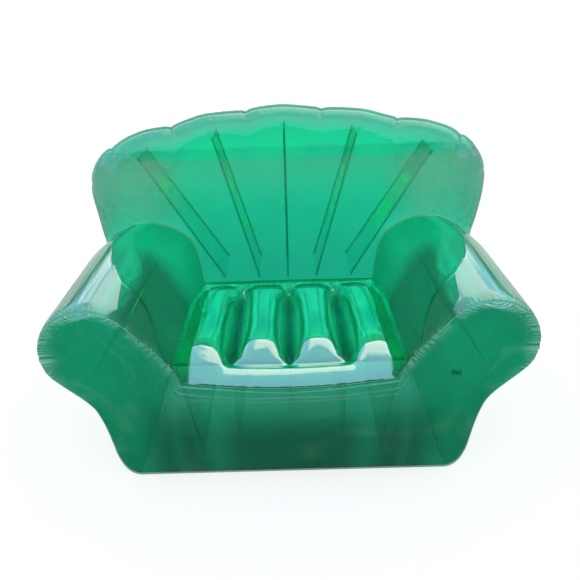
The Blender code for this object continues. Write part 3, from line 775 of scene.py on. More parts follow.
def web_sheet(
    name: str,
    low: Array,
    high: Array,
    aside: Sequence[float],
    finish: FilmFinish,
    sharpness: int,
    wave: Sequence[float],
) -> Sheet:
    """A web between two lines of points, with deeper welded edges and a slight wave.

    Args:
        name: The piece's name.
        low: Points of its lower weld, counted from the front weld.
        high: Points of its upper weld.
        aside: A point on the side that its first face looks away from.
        finish: What it is made of.
        sharpness: How narrow its welded edges are.
        wave: Height of the wave, its waves in 6.28 metres and its start.

    Returns:
        The sheet, not built yet.
    """
    share = np.linspace(0, 1, WEB_COLUMNS)[None, :, None]
    grid = mix(low[:, None], high[:, None], share)
    edge = np.abs(2 * share[..., 0] - 1) ** sharpness + np.zeros((len(grid), 1))
    row = np.arange(len(grid))[:, None]
    rim = ((row < 2) | (row > len(grid) - 3)) * 0.8
    sheet = Sheet(name, grid, aside, finish, Wall.MIDDLE, milk=edge * 0.3, deep=np.maximum(edge, rim))
    rise, pitch, start = wave
    sheet.push(rise * np.sin(share[..., 0] * math.pi) * np.sin(grid[..., 1] * pitch + start))
    return sheet


def join(name: str, pieces: Sequence[bpy.types.Object]) -> bpy.types.Object:
    """Makes several objects one piece."""
    select_only(*pieces)
    bpy.ops.object.join()
    pieces[0].name = name
    pieces[0].data.name = name
    return pieces[0]


def hand_over(piece: bpy.types.Object, *nodes: str) -> None:
    """Gives a finished film piece its body, and hides and logs the nodes that it stands for."""
    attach(piece, BODY)
    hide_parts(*nodes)
    LOG.info("%s: %d faces, stands for %s", piece.name, len(piece.data.polygons), ", ".join(nodes))


# The shared shape of base, arms and seat


@dataclass
class Section:
    """The section (x, z) of base and arms, which the side sheets and the front panel share."""

    flat_half: float = 0.406
    side_half: float = 0.464
    corner_height: float = 0.082
    waist: tuple[float, float] = (0.488, 0.205)
    arm_radius: float = 0.130
    arm_centre: tuple[float, float] = (0.480, 0.382)
    arm_length: float = 0.600
    front_tuck: float = 0.009
    end_roll: float = 0.050
    flare_length: float = 0.200
    rear_centre: tuple[float, float] = (0.445, 0.370)
    rear_rise: float = 0.150
    rear_inward: float = 0.180
    rear_outward: float = 0.140
    low_angle: float = math.radians(-22)
    top_angle: float = math.radians(90)
    inner_angle: float = math.radians(140)
    seat_half: float = 0.298
    seat_corner_half: float = 0.268
    seat_seam_height: float = 0.318
    seat_rear: tuple[float, float] = (0.266, 0.330)
    seat_front_height: float = 0.298
    seat_corner_roll: float = 0.060
    seat_front_bow: float = 0.032
    inner_handle: float = 0.35
    seam_handle: float = 0.30
    seam_lean: float = 0.35
    seam_gathers: Gathers = Gathers(seed=11, pitch=0.0115)

    def to_rear(self, depth: Array) -> Array:
        """How far the section has flared at this depth, 1 where it meets the backrest."""
        return smooth((depth - self.arm_length + self.flare_length) / self.flare_length) ** 2

    def on_arm(self, depth: Array, angle: Array) -> Array:
        """Points (x, z) of the arm's round: a tube that draws in in front and flares at the rear."""
        radius = self.arm_radius - self.front_tuck * (1 - quarter_round(depth / self.end_roll))
        radius = radius + 0.0012 * self.seam_gathers.at(angle * self.arm_radius) * bell(depth, 0.012)
        heading = together(np.cos(angle), np.sin(angle))
        flare = together(np.where(np.cos(angle) > 0, self.rear_outward, self.rear_inward), self.rear_rise)
        tube = np.array(self.arm_centre) + radius[..., None] * heading
        flared = np.array(self.rear_centre) + flare * heading
        return mix(tube, flared, self.to_rear(depth)[..., None])

    def seat_seam(self, depth: Array) -> Array:
        """The weld (x, z) between arm and seat, which draws in at both ends."""
        corner = np.array((self.seat_corner_half, self.seat_front_height))
        middle = np.array((self.seat_half, self.seat_seam_height))
        front = mix(corner, middle, smooth(depth / self.seat_corner_roll)[..., None])
        return mix(front, np.array(self.seat_rear), self.to_rear(depth)[..., None])

    def points(self, depth: Array, counts: dict[str, int]) -> Array:
        """Half section from the floor round the base, the waist and the arm to the seat.

        Args:
            depth: Depths, one for each row.
            counts: How many points each part of the section gets.

        Returns:
            Points (x, z), shaped (rows, columns, 2).
        """
        depth = np.atleast_1d(np.asarray(depth, float))
        rows = np.zeros((len(depth), 1))
        flat, side = np.array((self.flat_half, 0.0)), np.array((self.side_half, self.corner_height))
        waist = np.array(self.waist)
        low = self.on_arm(depth, np.full_like(depth, self.low_angle))
        inner = self.on_arm(depth, np.full_like(depth, self.inner_angle))
        seam = self.seat_seam(depth)
        parts = [
            curve(flat + rows, side, CORNER_CURVE, counts["corner"]),
            curve(side + rows, waist, SIDE_CURVE, counts["side"]),
            curve(waist + rows, low, ((0.10, 0.36), (0.80, 0.68)), counts["waist"]),
        ]
        for part, start, end in (
            ("outer_arc", self.low_angle, self.top_angle),
            ("inner_arc", self.top_angle, self.inner_angle),
        ):
            angles = start + (end - start) * np.arange(counts[part]) / counts[part]
            parts.append(self.on_arm(depth[:, None] + 0 * angles, angles + 0 * depth[:, None]))
        run = np.linalg.norm(seam - inner, axis=-1, keepdims=True)
        heading = np.array((-math.sin(self.inner_angle), math.cos(self.inner_angle)))
        foot = np.array((self.seam_lean, 1.0)) / math.hypot(self.seam_lean, 1.0)
        handles = inner + heading * run * self.inner_handle, seam + foot * run * self.seam_handle
        parts.append(bezier(inner, *handles, seam, counts["inner"]))
        return np.concatenate([*parts, seam[:, None]], axis=1)

    def front_seat_seam(self, share: Array) -> Array:
        """The weld between seat and front panel, at shares of the half width from the middle."""
        bow = -self.seat_front_bow * (1 - share**2)
        return together(self.seat_corner_half * share, bow, self.seat_front_height)


SECTION = Section()
WRAP_COUNTS = {"corner": 12, "side": 40, "waist": 26, "outer_arc": 104, "inner_arc": 42, "inner": 56}
FRONT_COUNTS = {"corner": 24, "side": 12, "waist": 40, "outer_arc": 104, "inner_arc": 84, "inner": 96}


# Backrest


@dataclass
class FanForm:
    """The fan-shaped pillow: its outline, its thickness and its pleats.

    Angles run from straight up about the fan's centre, positive to +X.
    """

    seat_depth: float = 0.590
    seat_height: float = 0.335
    lean: float = 0.200
    height: float = 0.840
    wide: tuple[float, float] = (0.625, 0.610)
    shoulder: tuple[float, float] = (0.556, 0.731)
    arm_margin: float = 0.008
    thick_low: float = 0.0825
    thick_high: float = 0.0625
    rib_top_height: float = 0.741
    edge_roll: float = 0.085
    fin: float = 0.006
    centre_height: float = 0.045
    pitch: float = math.radians(17.1)
    rib_steps: tuple[int, ...] = (-2, -1, 0, 1, 2)
    rib_foot_height: float = 0.340
    rib_top_clear: float = 0.056
    lobe_share: float = 0.10
    notches: tuple[float, ...] = (0.5, 1.5, 2.28, 2.75, 3.25)
    notch_depth: float = 0.008
    small_notch_depth: float = 0.004
    trim: tuple[tuple[float, float], ...] = (
        (-60, 0), (-54, -5), (-51, -7), (-49, 0), (-44, -3), (-38, -4), (-35, 3), (-31, 5), (-28, -1),
        (-25, -5), (-22, -1), (-18, 4), (-14, 0), (-10, -3), (-6, 0), (0, 3), (5, -2), (11, 0), (18, 6),
        (23, 1), (27, 5), (31, 15), (36, 17), (39, 11), (44, 11), (47, 19), (51, 18), (55, 12), (60, 0),
    )  # fmt: skip
    fin_gathers: Gathers = Gathers(seed=5, pitch=0.016)
    roll_gathers: Gathers = Gathers(seed=8, pitch=0.021)

    def __post_init__(self) -> None:
        """Works out the outline once, as angles and distances."""
        base = SECTION
        flat = together(np.linspace(0, base.flat_half, 24, endpoint=False), self.fin)
        start = np.array((base.flat_half, self.fin))
        side = np.array((base.side_half - self.fin, base.corner_height))
        waist = np.array((base.waist[0] - self.fin, base.waist[1]))
        arm = np.array((base.rear_centre[0] + base.rear_outward + self.arm_margin, base.arm_centre[1]))
        wide = np.array((self.wide[0] - self.fin, self.wide[1]))
        shoulder = np.array((self.shoulder[0], self.shoulder[1] - self.fin))
        top = np.array((0, self.height - self.fin))
        points = np.concatenate(
            [
                flat,
                curve(start, side, CORNER_CURVE, 40),
                curve(side, waist, SIDE_CURVE, 20),
                curve(waist, arm, ((0.12, 0.36), (0.98, 0.66)), 40),
                curve(arm, wide, ((0, 0.40), (1, 0.62)), 40),
                curve(wide, shoulder, ((0, 0.50), (0.55, 0.84)), 40),
                curve(shoulder, top, ((0.17, 0.42), (0.62, 1)), 80),
                top[None],
            ]
        )
        points = points - np.array((0, self.centre_height))
        angles = np.arctan2(points[:, 0], points[:, 1])
        order = np.argsort(angles)
        self.table = angles[order], np.linalg.norm(points, axis=1)[order]
        self.all_notches = (*(-notch for notch in reversed(self.notches)), *self.notches)
        trim = np.array(self.trim)
        self.trim_angles, self.trim_sizes = np.radians(trim[:, 0]), trim[:, 1] / 1000

    def middle(self, height: Array) -> Array:
        """Depth of the leaning middle plane at this height."""
        return self.seat_depth + self.lean * (height - self.seat_height)

    def plain_outline(self, angle: Array) -> Array:
        """Distance from the fan's centre to the seam without its scallops."""
        return np.interp(np.abs(angle), *self.table)

    def scallop(self, angle: Array) -> Array:
        """How far the seam is drawn in between two swells, sharper than the solid's."""
        turn = np.abs(angle) / self.pitch
        drawn = self.small_notch_depth * (1 - smooth((turn - self.notches[-1]) / self.notches[0]))
        bounds = [-self.notches[0], *self.notches]
        for low, high in reversed(list(zip(bounds, bounds[1:]))):
            depth = self.notch_depth if high <= self.notches[2] else self.small_notch_depth
            share = np.clip(np.abs(2 * (turn - low) / (high - low) - 1), 0, 1)
            drawn = np.where(turn <= high, depth * (0.5 * share**4 + 0.6 * share**16), drawn)
        return drawn

    def outline(self, angle: Array) -> Array:
        """Distance from the fan's centre to the seam."""
        radius = self.plain_outline(angle)
        ease = self.trim_angles[-1] / 60
        turned = (angle - ease, angle, angle + ease)
        trim = sum(np.interp(turn, self.trim_angles, self.trim_sizes) for turn in turned) / 3
        upper = smooth((math.radians(66) - np.abs(angle)) / math.radians(8))
        return radius - self.scallop(angle) + trim + 0.0011 * self.fin_gathers.at(angle * radius) * upper

    def foot(self, angle: Array) -> Array:
        """Distance from the fan's centre to the level of the ribs' feet."""
        level = (self.rib_foot_height - self.centre_height) / np.maximum(np.cos(angle), 0.5)
        return np.minimum(level, self.plain_outline(angle) * 0.5)

    def head(self, angle: Array) -> Array:
        """Distance from the fan's centre to the ribs' upper ends."""
        outline = self.plain_outline(angle)
        return np.maximum(outline - self.rib_top_clear, outline * 0.6)

    def half_thickness(self, angle: Array, radius: Array, distance: Array) -> Array:
        """Half the pillow's thickness: a round edge, lobes, and grooves over the ribs."""
        height = self.centre_height + radius * np.cos(angle)
        climb = np.clip((height - self.seat_height) / (self.rib_top_height - self.seat_height), 0, 1)
        thick = mix(self.thick_low, self.thick_high, climb)
        turn = np.abs(angle) / self.pitch
        groove = np.where(turn < 2, np.abs(2 * (turn % 1) - 1) ** 2, (1 - np.minimum(turn - 2, 1)) ** 2)
        foot = smooth((radius - self.foot(angle)) / self.rib_top_clear + 0.5)
        outline = self.plain_outline(angle)
        head = smooth((outline - radius) / self.rib_top_clear - 0.5)
        flatter = 1 - 0.55 * smooth((radius / outline - 0.55) / 0.25)
        lobe = self.lobe_share * flatter * radius * self.pitch * (1 - groove * foot * head)
        return quarter_round(distance / self.edge_roll) * (thick + lobe)

    def skin_height(self, angle: Array, radius: Array) -> Array:
        """Half thickness along one ray of the fan, where a rib is welded on."""
        distance = (self.outline(angle) - radius) * 0.97
        return self.half_thickness(angle, radius, distance) + WELD_GAP / 2


FAN = FanForm()


@dataclass
class BackrestFolds:
    """The folds that air draws into the backrest's skins."""

    pleat_depth: float = 0.0085
    pleat_width: float = 0.0036
    pleat_length: float = 0.020
    gather_depth: float = 0.0017
    gather_reach: float = 0.016
    crow_depth: float = 0.0035
    crow_spread: float = 0.42
    crinkle_depth: float = 0.0016
    facet_height: float = 0.0030

    def seam_pleats(self, angle: Array, radius: Array, distance: Array, face: Face) -> Array:
        """Valleys that run in from the notches of the seam, each with smaller ones beside it."""
        draw = np.random.default_rng(21 + face.value)
        depth = np.zeros_like(distance)
        for notch in FAN.all_notches:
            size = 1.0 if abs(notch) < 2.5 else 0.6
            for order, offset in enumerate((0.0, -0.011, 0.010, -0.021, 0.023)):
                offset += draw.uniform(-0.002, 0.002)
                length = self.pleat_length * draw.uniform(0.7, 1.2) * (1 if order == 0 else 0.55)
                share = size * (1 if order == 0 else draw.uniform(0.15, 0.5))
                across = (angle - notch * FAN.pitch) * radius - offset
                width = self.pleat_width * (1 if order == 0 else 0.6) + 0.09 * distance
                depth += self.pleat_depth * share * bell(across, width) * bell(distance - 0.006, length)
        return -depth * smooth(distance / 0.008)

    def notch_strokes(self, angle: Array, radius: Array, distance: Array) -> Array:
        """Pale lines that run in from the notches, where the film is pinched hardest."""
        draw = np.random.default_rng(27)
        strokes = np.zeros_like(distance)
        for notch in FAN.all_notches:
            for offset in (-0.012, -0.005, 0.001, 0.008):
                across = (angle - notch * FAN.pitch) * radius - offset - draw.uniform(-0.003, 0.003)
                length = draw.uniform(0.012, 0.036)
                line = bell(across - 0.15 * distance * draw.uniform(-1, 1), 0.0014)
                stroke = line * smooth((length - distance) / 0.010) * draw.uniform(0.3, 0.8)
                strokes = np.maximum(strokes, stroke)
        return strokes

    def seam_gathers(self, angle: Array, radius: Array, distance: Array) -> Array:
        """Fine gathers all along the seam, dying out on the roll."""
        run = angle * radius
        fine = FAN.fin_gathers.at(run) * bell(distance - 0.004, self.gather_reach)
        broad = FAN.roll_gathers.at(run * 0.8 + 0.3) * bell(distance - 0.012, self.gather_reach * 1.9)
        return self.gather_depth * (fine + 0.8 * broad) * smooth(distance / 0.006)

    def crow_feet(self, angle: Array, radius: Array) -> Array:
        """Short folds that spread like a V from each rib's upper end."""
        depth = np.zeros_like(radius)
        for step in FAN.rib_steps:
            across = (angle - step * FAN.pitch) * radius
            beyond = radius - FAN.head(np.array(step * FAN.pitch))
            window = smooth((beyond + 0.016) / 0.016) * smooth((0.040 - beyond) / 0.030)
            for slope in (-self.crow_spread, 0.0, self.crow_spread):
                line = across - slope * (beyond + 0.012)
                depth += self.crow_depth * bell(line, 0.0038) * window
        return -depth

    def rib_foot_crinkles(self, angle: Array, radius: Array) -> Array:
        """Crinkles where the ribs end at the seat."""
        depth = np.zeros_like(radius)
        for step in FAN.rib_steps:
            across = (angle - step * FAN.pitch) * radius
            below = radius - FAN.foot(np.array(step * FAN.pitch))
            near = bell(across, 0.022) * bell(below, 0.024)
            depth += near * Crinkles(seed=31 + step, pitch=0.012).at(across, below)
        return depth * self.crinkle_depth

    def shoulder_facets(self, points: Array) -> Array:
        """The long soft folds beside the outer ribs, from the shoulders down to the arms."""
        height = np.zeros(points.shape[:-1])
        for side, top, foot in ((-1, (0.512, 0.705), (0.360, 0.530)), (1, (0.520, 0.700), (0.345, 0.520))):
            start, end = np.array((side * top[0], top[1])), np.array((side * foot[0], foot[1]))
            run, offset = end - start, points - start
            along = (offset @ run) / (run @ run)
            across = (offset[..., 0] * run[1] - offset[..., 1] * run[0]) / np.linalg.norm(run)
            window = smooth(along / 0.25 + 0.3) * smooth((1 - along) / 0.3 + 0.3)
            folds = 0.5 * bell(across - 0.030 * side, 0.017) - bell(across, 0.019)
            height += self.facet_height * window * folds
        return height


@dataclass
class Backrest:
    """The backrest's chamber: two welded skins and the five webs between them."""

    rib_names: tuple[str, ...] = ("left_outer", "left_inner", "centre", "right_inner", "right_outer")
    upper_step: float = math.radians(0.32)
    upper_limit: float = math.radians(64)
    lower_rays: int = 96
    field_rings: int = 34
    roll_rings: int = 30
    roll_reach: float = 0.088
    # Heights and reaches of painted glints on each backrest web.
    rib_glints: tuple[tuple[tuple[float, float], ...], ...] = (
        ((0.615, 0.022),),
        ((0.600, 0.030), (0.480, 0.020)),
        ((0.560, 0.020),),
        ((0.640, 0.025), (0.520, 0.030)),
        ((0.610, 0.014), (0.515, 0.055)),
    )
    folds: BackrestFolds = field(default_factory=BackrestFolds)
    floor_clear: float = 0.0004
    roll_width: float = 0.050
    band_width: float = 0.034
    edge_width: float = 0.005
    band_sheen: float = 0.31
    haze_reflection: float = 0.45
    facet_sheen: float = 128.8
    low_depth: float = 0.38
    roll_depth: float = 0.55
    arm_clearness: float = 0.45
    rear_shine: float = 0.5
    strip_half: float = 0.0034

    def rays(self) -> Array:
        """Angles of the grid's rays, once round, close together over the upper edge."""
        upper = np.arange(-self.upper_limit, self.upper_limit, self.upper_step)
        lower = np.linspace(self.upper_limit, math.tau - self.upper_limit, self.lower_rays)
        return (np.concatenate([upper, lower]) + math.pi) % math.tau - math.pi

    def rings(self, angle: Array, outline: Array) -> Array:
        """Distances of the grid's rings from the fan's centre, close together near the seam."""
        foot = FAN.foot(angle)
        near_seam = np.maximum(outline - self.roll_reach, foot * 1.02)
        low_shares = (0.0, 0.15, 0.30, *np.linspace(0.44, 0.62, 17), 0.76)
        on_field = [(step / self.field_rings) ** 1.25 for step in range(self.field_rings)]
        turns = [step / self.roll_rings * math.pi / 2 for step in range(self.roll_rings + 1)]
        rings = [foot * share for share in low_shares]
        rings += [mix(foot * 0.9, near_seam, share) for share in on_field]
        rings += [mix(near_seam, outline, math.sin(turn) ** 0.9) for turn in turns]
        return np.concatenate(rings)

    def skin(self, face: Face) -> bpy.types.Object:
        """One skin with its weld fin."""
        angle = self.rays()[None]
        outline = FAN.outline(angle)
        radius = self.rings(angle, outline)
        angle = np.broadcast_to(angle, radius.shape)
        loop = polar(self.rays(), outline[0])
        distance = distance_to_loop(polar(angle, radius), loop)
        distance[-1] = 0
        flat = polar(angle, radius) + np.array((0, FAN.centre_height))
        upper = smooth((math.radians(70) - np.abs(angle)) / math.radians(10))
        shared = FAN.roll_gathers.at(angle * radius) * 0.0016 * bell(distance, 0.012) * upper
        height = self.folds.seam_pleats(angle, radius, distance, face) * upper
        height += self.folds.seam_gathers(angle, radius, distance) * upper
        height += self.folds.crow_feet(angle, radius) * (1 if face is Face.FRONT else 0.6)
        facets = self.folds.shoulder_facets(flat) * (face is Face.FRONT)
        if face is Face.FRONT:
            height += self.folds.rib_foot_crinkles(angle, radius) + facets
        half = np.maximum(FAN.half_thickness(angle, radius, distance) + height, 0) + WELD_GAP / 2
        half[-1] = WELD_GAP / 2
        depth = FAN.middle(flat[..., 1]) + shared + face.value * half
        points = together(flat[..., 0], depth, flat[..., 1])
        points = np.concatenate([points, self.fin_rows(loop, points[-1], face)])
        points[..., 2] = np.maximum(points[..., 2], self.floor_clear)
        points = np.concatenate([points, points[:, :1]], axis=1)
        inside = (0, float(FAN.middle(FAN.seat_height)), FAN.seat_height)
        sheet = Sheet(f"backrest_{face.name.lower()}_film", points, inside, SKIN_FILM, Wall.INNER)
        strokes = self.folds.notch_strokes(angle, radius, distance)
        # Scatter on the folds: pale notch strokes, and a painted highlight on the crests of the shoulder
        # facets.
        self.dress(sheet, face, distance, np.maximum(self.facet_sheen * facets, strokes))
        if face is Face.REAR:
            sheet.take_valve("back_valve")
        return sheet.build()

    def dress(self, sheet: Sheet, face: Face, distance: Array, folds: Array) -> None:
        """Sets a skin's scatter, with its painted sheen and reflections, depth of colour, clearness and mirror.

        Args:
            sheet: The skin's sheet.
            face: Which skin it is.
            distance: How far its points lie from the seam.
            folds: Scatter on its folds, with the painted highlight on the shoulder facets' crests.
        """
        across, height = np.abs(sheet.points[..., 0]), sheet.points[..., 2]
        fin = with_fin(0 * distance, 1)
        roll = with_fin(bell(distance, self.roll_width), 0)
        # Painted reflection: a pale band of sky sheen along the upper roll.
        band = with_fin(1 - smooth((distance - self.band_width) / 0.010), 1) * smooth((height - 0.60) / 0.10)
        edge = with_fin(smooth(1 - distance / self.edge_width), 1) * smooth((height - 0.42) / 0.08)
        # Painted reflection: milky film on the upper outer sides stands for a hazy sky mirrored there.
        cloudy = smooth((0.735 - height) / 0.05) * smooth((height - 0.42) / 0.14)
        cloudy = cloudy * smooth((across - 0.29) / 0.16)
        behind_arm = smooth((across - 0.29) / 0.09) * smooth((0.50 - height) / 0.08)
        low = smooth((0.62 - height) / 0.30)
        sheet.milk = np.max([self.band_sheen * band, edge, self.haze_reflection * cloudy, with_fin(folds, 0)], axis=0)
        sheet.deep = np.maximum(self.low_depth * low, self.roll_depth * roll) * (1 - edge) * (1 - fin)
        sheet.thin = np.maximum(self.arm_clearness * behind_arm, fin)
        if face is Face.REAR:
            sheet.dull = 1 - self.rear_shine * roll

    def fin_rows(self, loop: Array, seam: Array, face: Face) -> Array:
        """Rows of the flat, slightly wavy weld fin outside the seam."""
        ahead, behind = np.roll(loop, -2, 0), np.roll(loop, 2, 0)
        along = (ahead - behind) / np.linalg.norm(ahead - behind, axis=1, keepdims=True)
        out = together(-along[:, 1], along[:, 0])
        if (out * loop).sum() < 0:
            out = -out
        run = run_length(loop)
        upper = smooth((loop[:, 1] - 0.42) / 0.1)
        rows = []
        for share in FIN_SHARES:
            flat = loop + out * FAN.fin * share + np.array((0, FAN.centre_height))
            wave = (0.0016 + 0.0024 * share) * Gathers(seed=44, pitch=0.019).at(run) * upper
            base = seam[:, 1] - face.value * WELD_GAP / 2
            depth = base + FAN.lean * (flat[:, 1] - seam[:, 2]) + wave * share + face.value * WELD_GAP / 2
            rows.append(together(flat[:, 0], depth, flat[:, 1]))
        return np.stack(rows)

    def beside_ray(self, angle: Array, flat: Array, aside: Array, behind: Array) -> Array:
        """Points of a grid along a ray of the fan.

        Args:
            angle: The ray's angle.
            flat: Points (x, z) along the ray, one for each row.
            aside: How far the grid's points lie beside the ray.
            behind: How far they lie behind the middle plane.

        Returns:
            The grid's points.
        """
        place = flat[:, None] + aside[..., None] * np.array((math.cos(angle), -math.sin(angle)))
        return together(place[..., 0], FAN.middle(flat[:, 1])[:, None] + behind, place[..., 1])

    def rib(self, index: int, name: str) -> bpy.types.Object:
        """One web with its welded strips along both skins."""
        angle = np.array(FAN.rib_steps[index] * FAN.pitch)
        foot, head = FAN.foot(angle), FAN.head(angle) + 0.004
        radius = np.linspace(foot, head, 56)
        half = FAN.skin_height(angle, radius) - 0.0012
        flat = polar(angle, radius) + np.array((0, FAN.centre_height))
        across = np.linspace(-1, 1, 13)
        wave = 0.002 * np.sin(across * 2.2)[None] * np.sin(radius * 31)[:, None]
        points = self.beside_ray(angle, flat, wave, half[:, None] * across)
        edge = np.abs(across)[None] ** 8
        aside = (-0.9 if FAN.rib_steps[index] > 0 else 0.9, 0.6, 0.3)
        # Painted glints on the web, made bright by the web film's glow.
        glints = sum(bell(flat[:, 1] - height, reach) for height, reach in self.rib_glints[index])
        tops = 0.9 * smooth((flat[:, 1:] - 0.58) / 0.10)
        web = Sheet(f"backrest_web_{name}", points, aside, WEB_FILM, Wall.MIDDLE)
        web.deep = np.maximum(edge * 0.6, tops)
        web.milk = np.maximum(edge * 0.4, glints[:, None] * smooth((0.8 - np.abs(across)) / 0.4))
        parts = [web.build()]
        strip = np.array((-1.0, -0.45, 0.45, 1.0)) * self.strip_half
        for face in Face:
            rise = half[:, None] + FILM + 0.38 * np.abs(strip)
            rows = self.beside_ray(angle, flat, strip, face.value * rise)
            weld = Sheet(f"weld_{face.name.lower()}", rows, (0, 0.6, 0.5), WELD_FILM, Wall.MIDDLE, deep=0.3)
            parts.append(weld.build())
        return join(f"backrest_web_{name}", parts)

    def build(self) -> bpy.types.Object:
        """Builds and hands over the chamber.

        Returns:
            The front skin, which the arms, the seat and the bottom run up to.
        """
        front = self.skin(Face.FRONT)
        rear = self.skin(Face.REAR)
        hand_over(front, "backrest_front_skin")
        for index, name in enumerate(self.rib_names):
            hand_over(self.rib(index, name), f"backrest_rib_{name}")
        hand_over(rear, "backrest_rear_skin")
        return front


@dataclass
class Reach:
    """Finds how far back a sheet may run before it meets the backrest's front skin."""

    skin: bpy.types.Object

    def __post_init__(self) -> None:
        """Makes the search tree."""
        self.tree = BVHTree.FromObject(self.skin, bpy.context.evaluated_depsgraph_get())

    def depth(self, x: float, height: float) -> float:
        """Depth just in front of the skin at this place, from the front weld."""
        found = []
        for right, up in ((0, 0), (0.003, 0), (-0.003, 0), (0, 0.003), (0, -0.003)):
            start = Vector((x + right, -1, max(height + up, 0.0008)))
            place = self.tree.ray_cast(start, Vector((0, 1, 0)))[0]
            if place:
                found.append(place.y - FRONT_WELD[1])
        return (min(found) if found else float(FAN.middle(height))) - SKIN_CLEAR

    def ends(self, points: Array) -> Array:
        """Depths of a sheet's rear edge at these (x, z) points."""
        return np.array([self.depth(float(x), float(z)) for x, z in points])


# Base and arms


@dataclass
class ArmFolds:
    """The folds of the sheets round base and arms."""

    gather_depth: float = 0.0030
    gather_reach: float = 0.013
    crease_depth: float = 0.0011
    crease_angles: tuple[float, ...] = (8, 17, 25, 32, 37, 41, 45, 50, 56, 64)

    def shaped(self, section_angle: Array, depth: Array, side: Side) -> tuple[Array, Array]:
        """Height of the gathers at the front weld and of the long creases, and pale streaks near the rim.

        The pale streaks are a painted reflection, as the film mirrors at a glancing view along the outer side.
        """
        gathers = SECTION.seam_gathers.at(section_angle * SECTION.arm_radius)
        height = self.gather_depth * gathers * bell(depth - 0.006, self.gather_reach) * smooth(depth / 0.004)
        draw = np.random.default_rng(61 + side.value)
        for angle in self.crease_angles:
            sway = 0.006 * np.sin(depth * draw.uniform(6, 14) + draw.uniform(0, math.tau))
            away = (section_angle - math.radians(angle)) * SECTION.arm_radius + sway
            start, length = draw.uniform(0.0, 0.10), draw.uniform(0.22, 0.45)
            window = smooth((depth - start) / 0.05) * smooth((start + length - depth) / 0.10)
            size = self.crease_depth * (1.7 if 28 < angle < 50 else 0.8)
            height -= size * draw.uniform(0.5, 1.0) * bell(away, 0.0032) * window
        # Painted reflection: pale streaks along the arm's outer side, where the film mirrors at a glancing
        # view.
        from_rim = np.degrees(section_angle) - mix(64, 49, depth / 0.5)
        pale = 0.15 * smooth(from_rim / 6 + 1) * smooth((26 - from_rim) / 6)
        for offset, size in ((2, 0.8), (7, 1.0), (13, 0.7), (20, 0.9)):
            sway = 1.6 * np.sin(depth * draw.uniform(6, 14) + draw.uniform(0, math.tau))
            pale = np.maximum(pale, 1.6 * size * bell(from_rim - offset - sway, 1.6))
        return height, pale * smooth(depth / 0.05) * smooth((0.50 - depth) / 0.04)


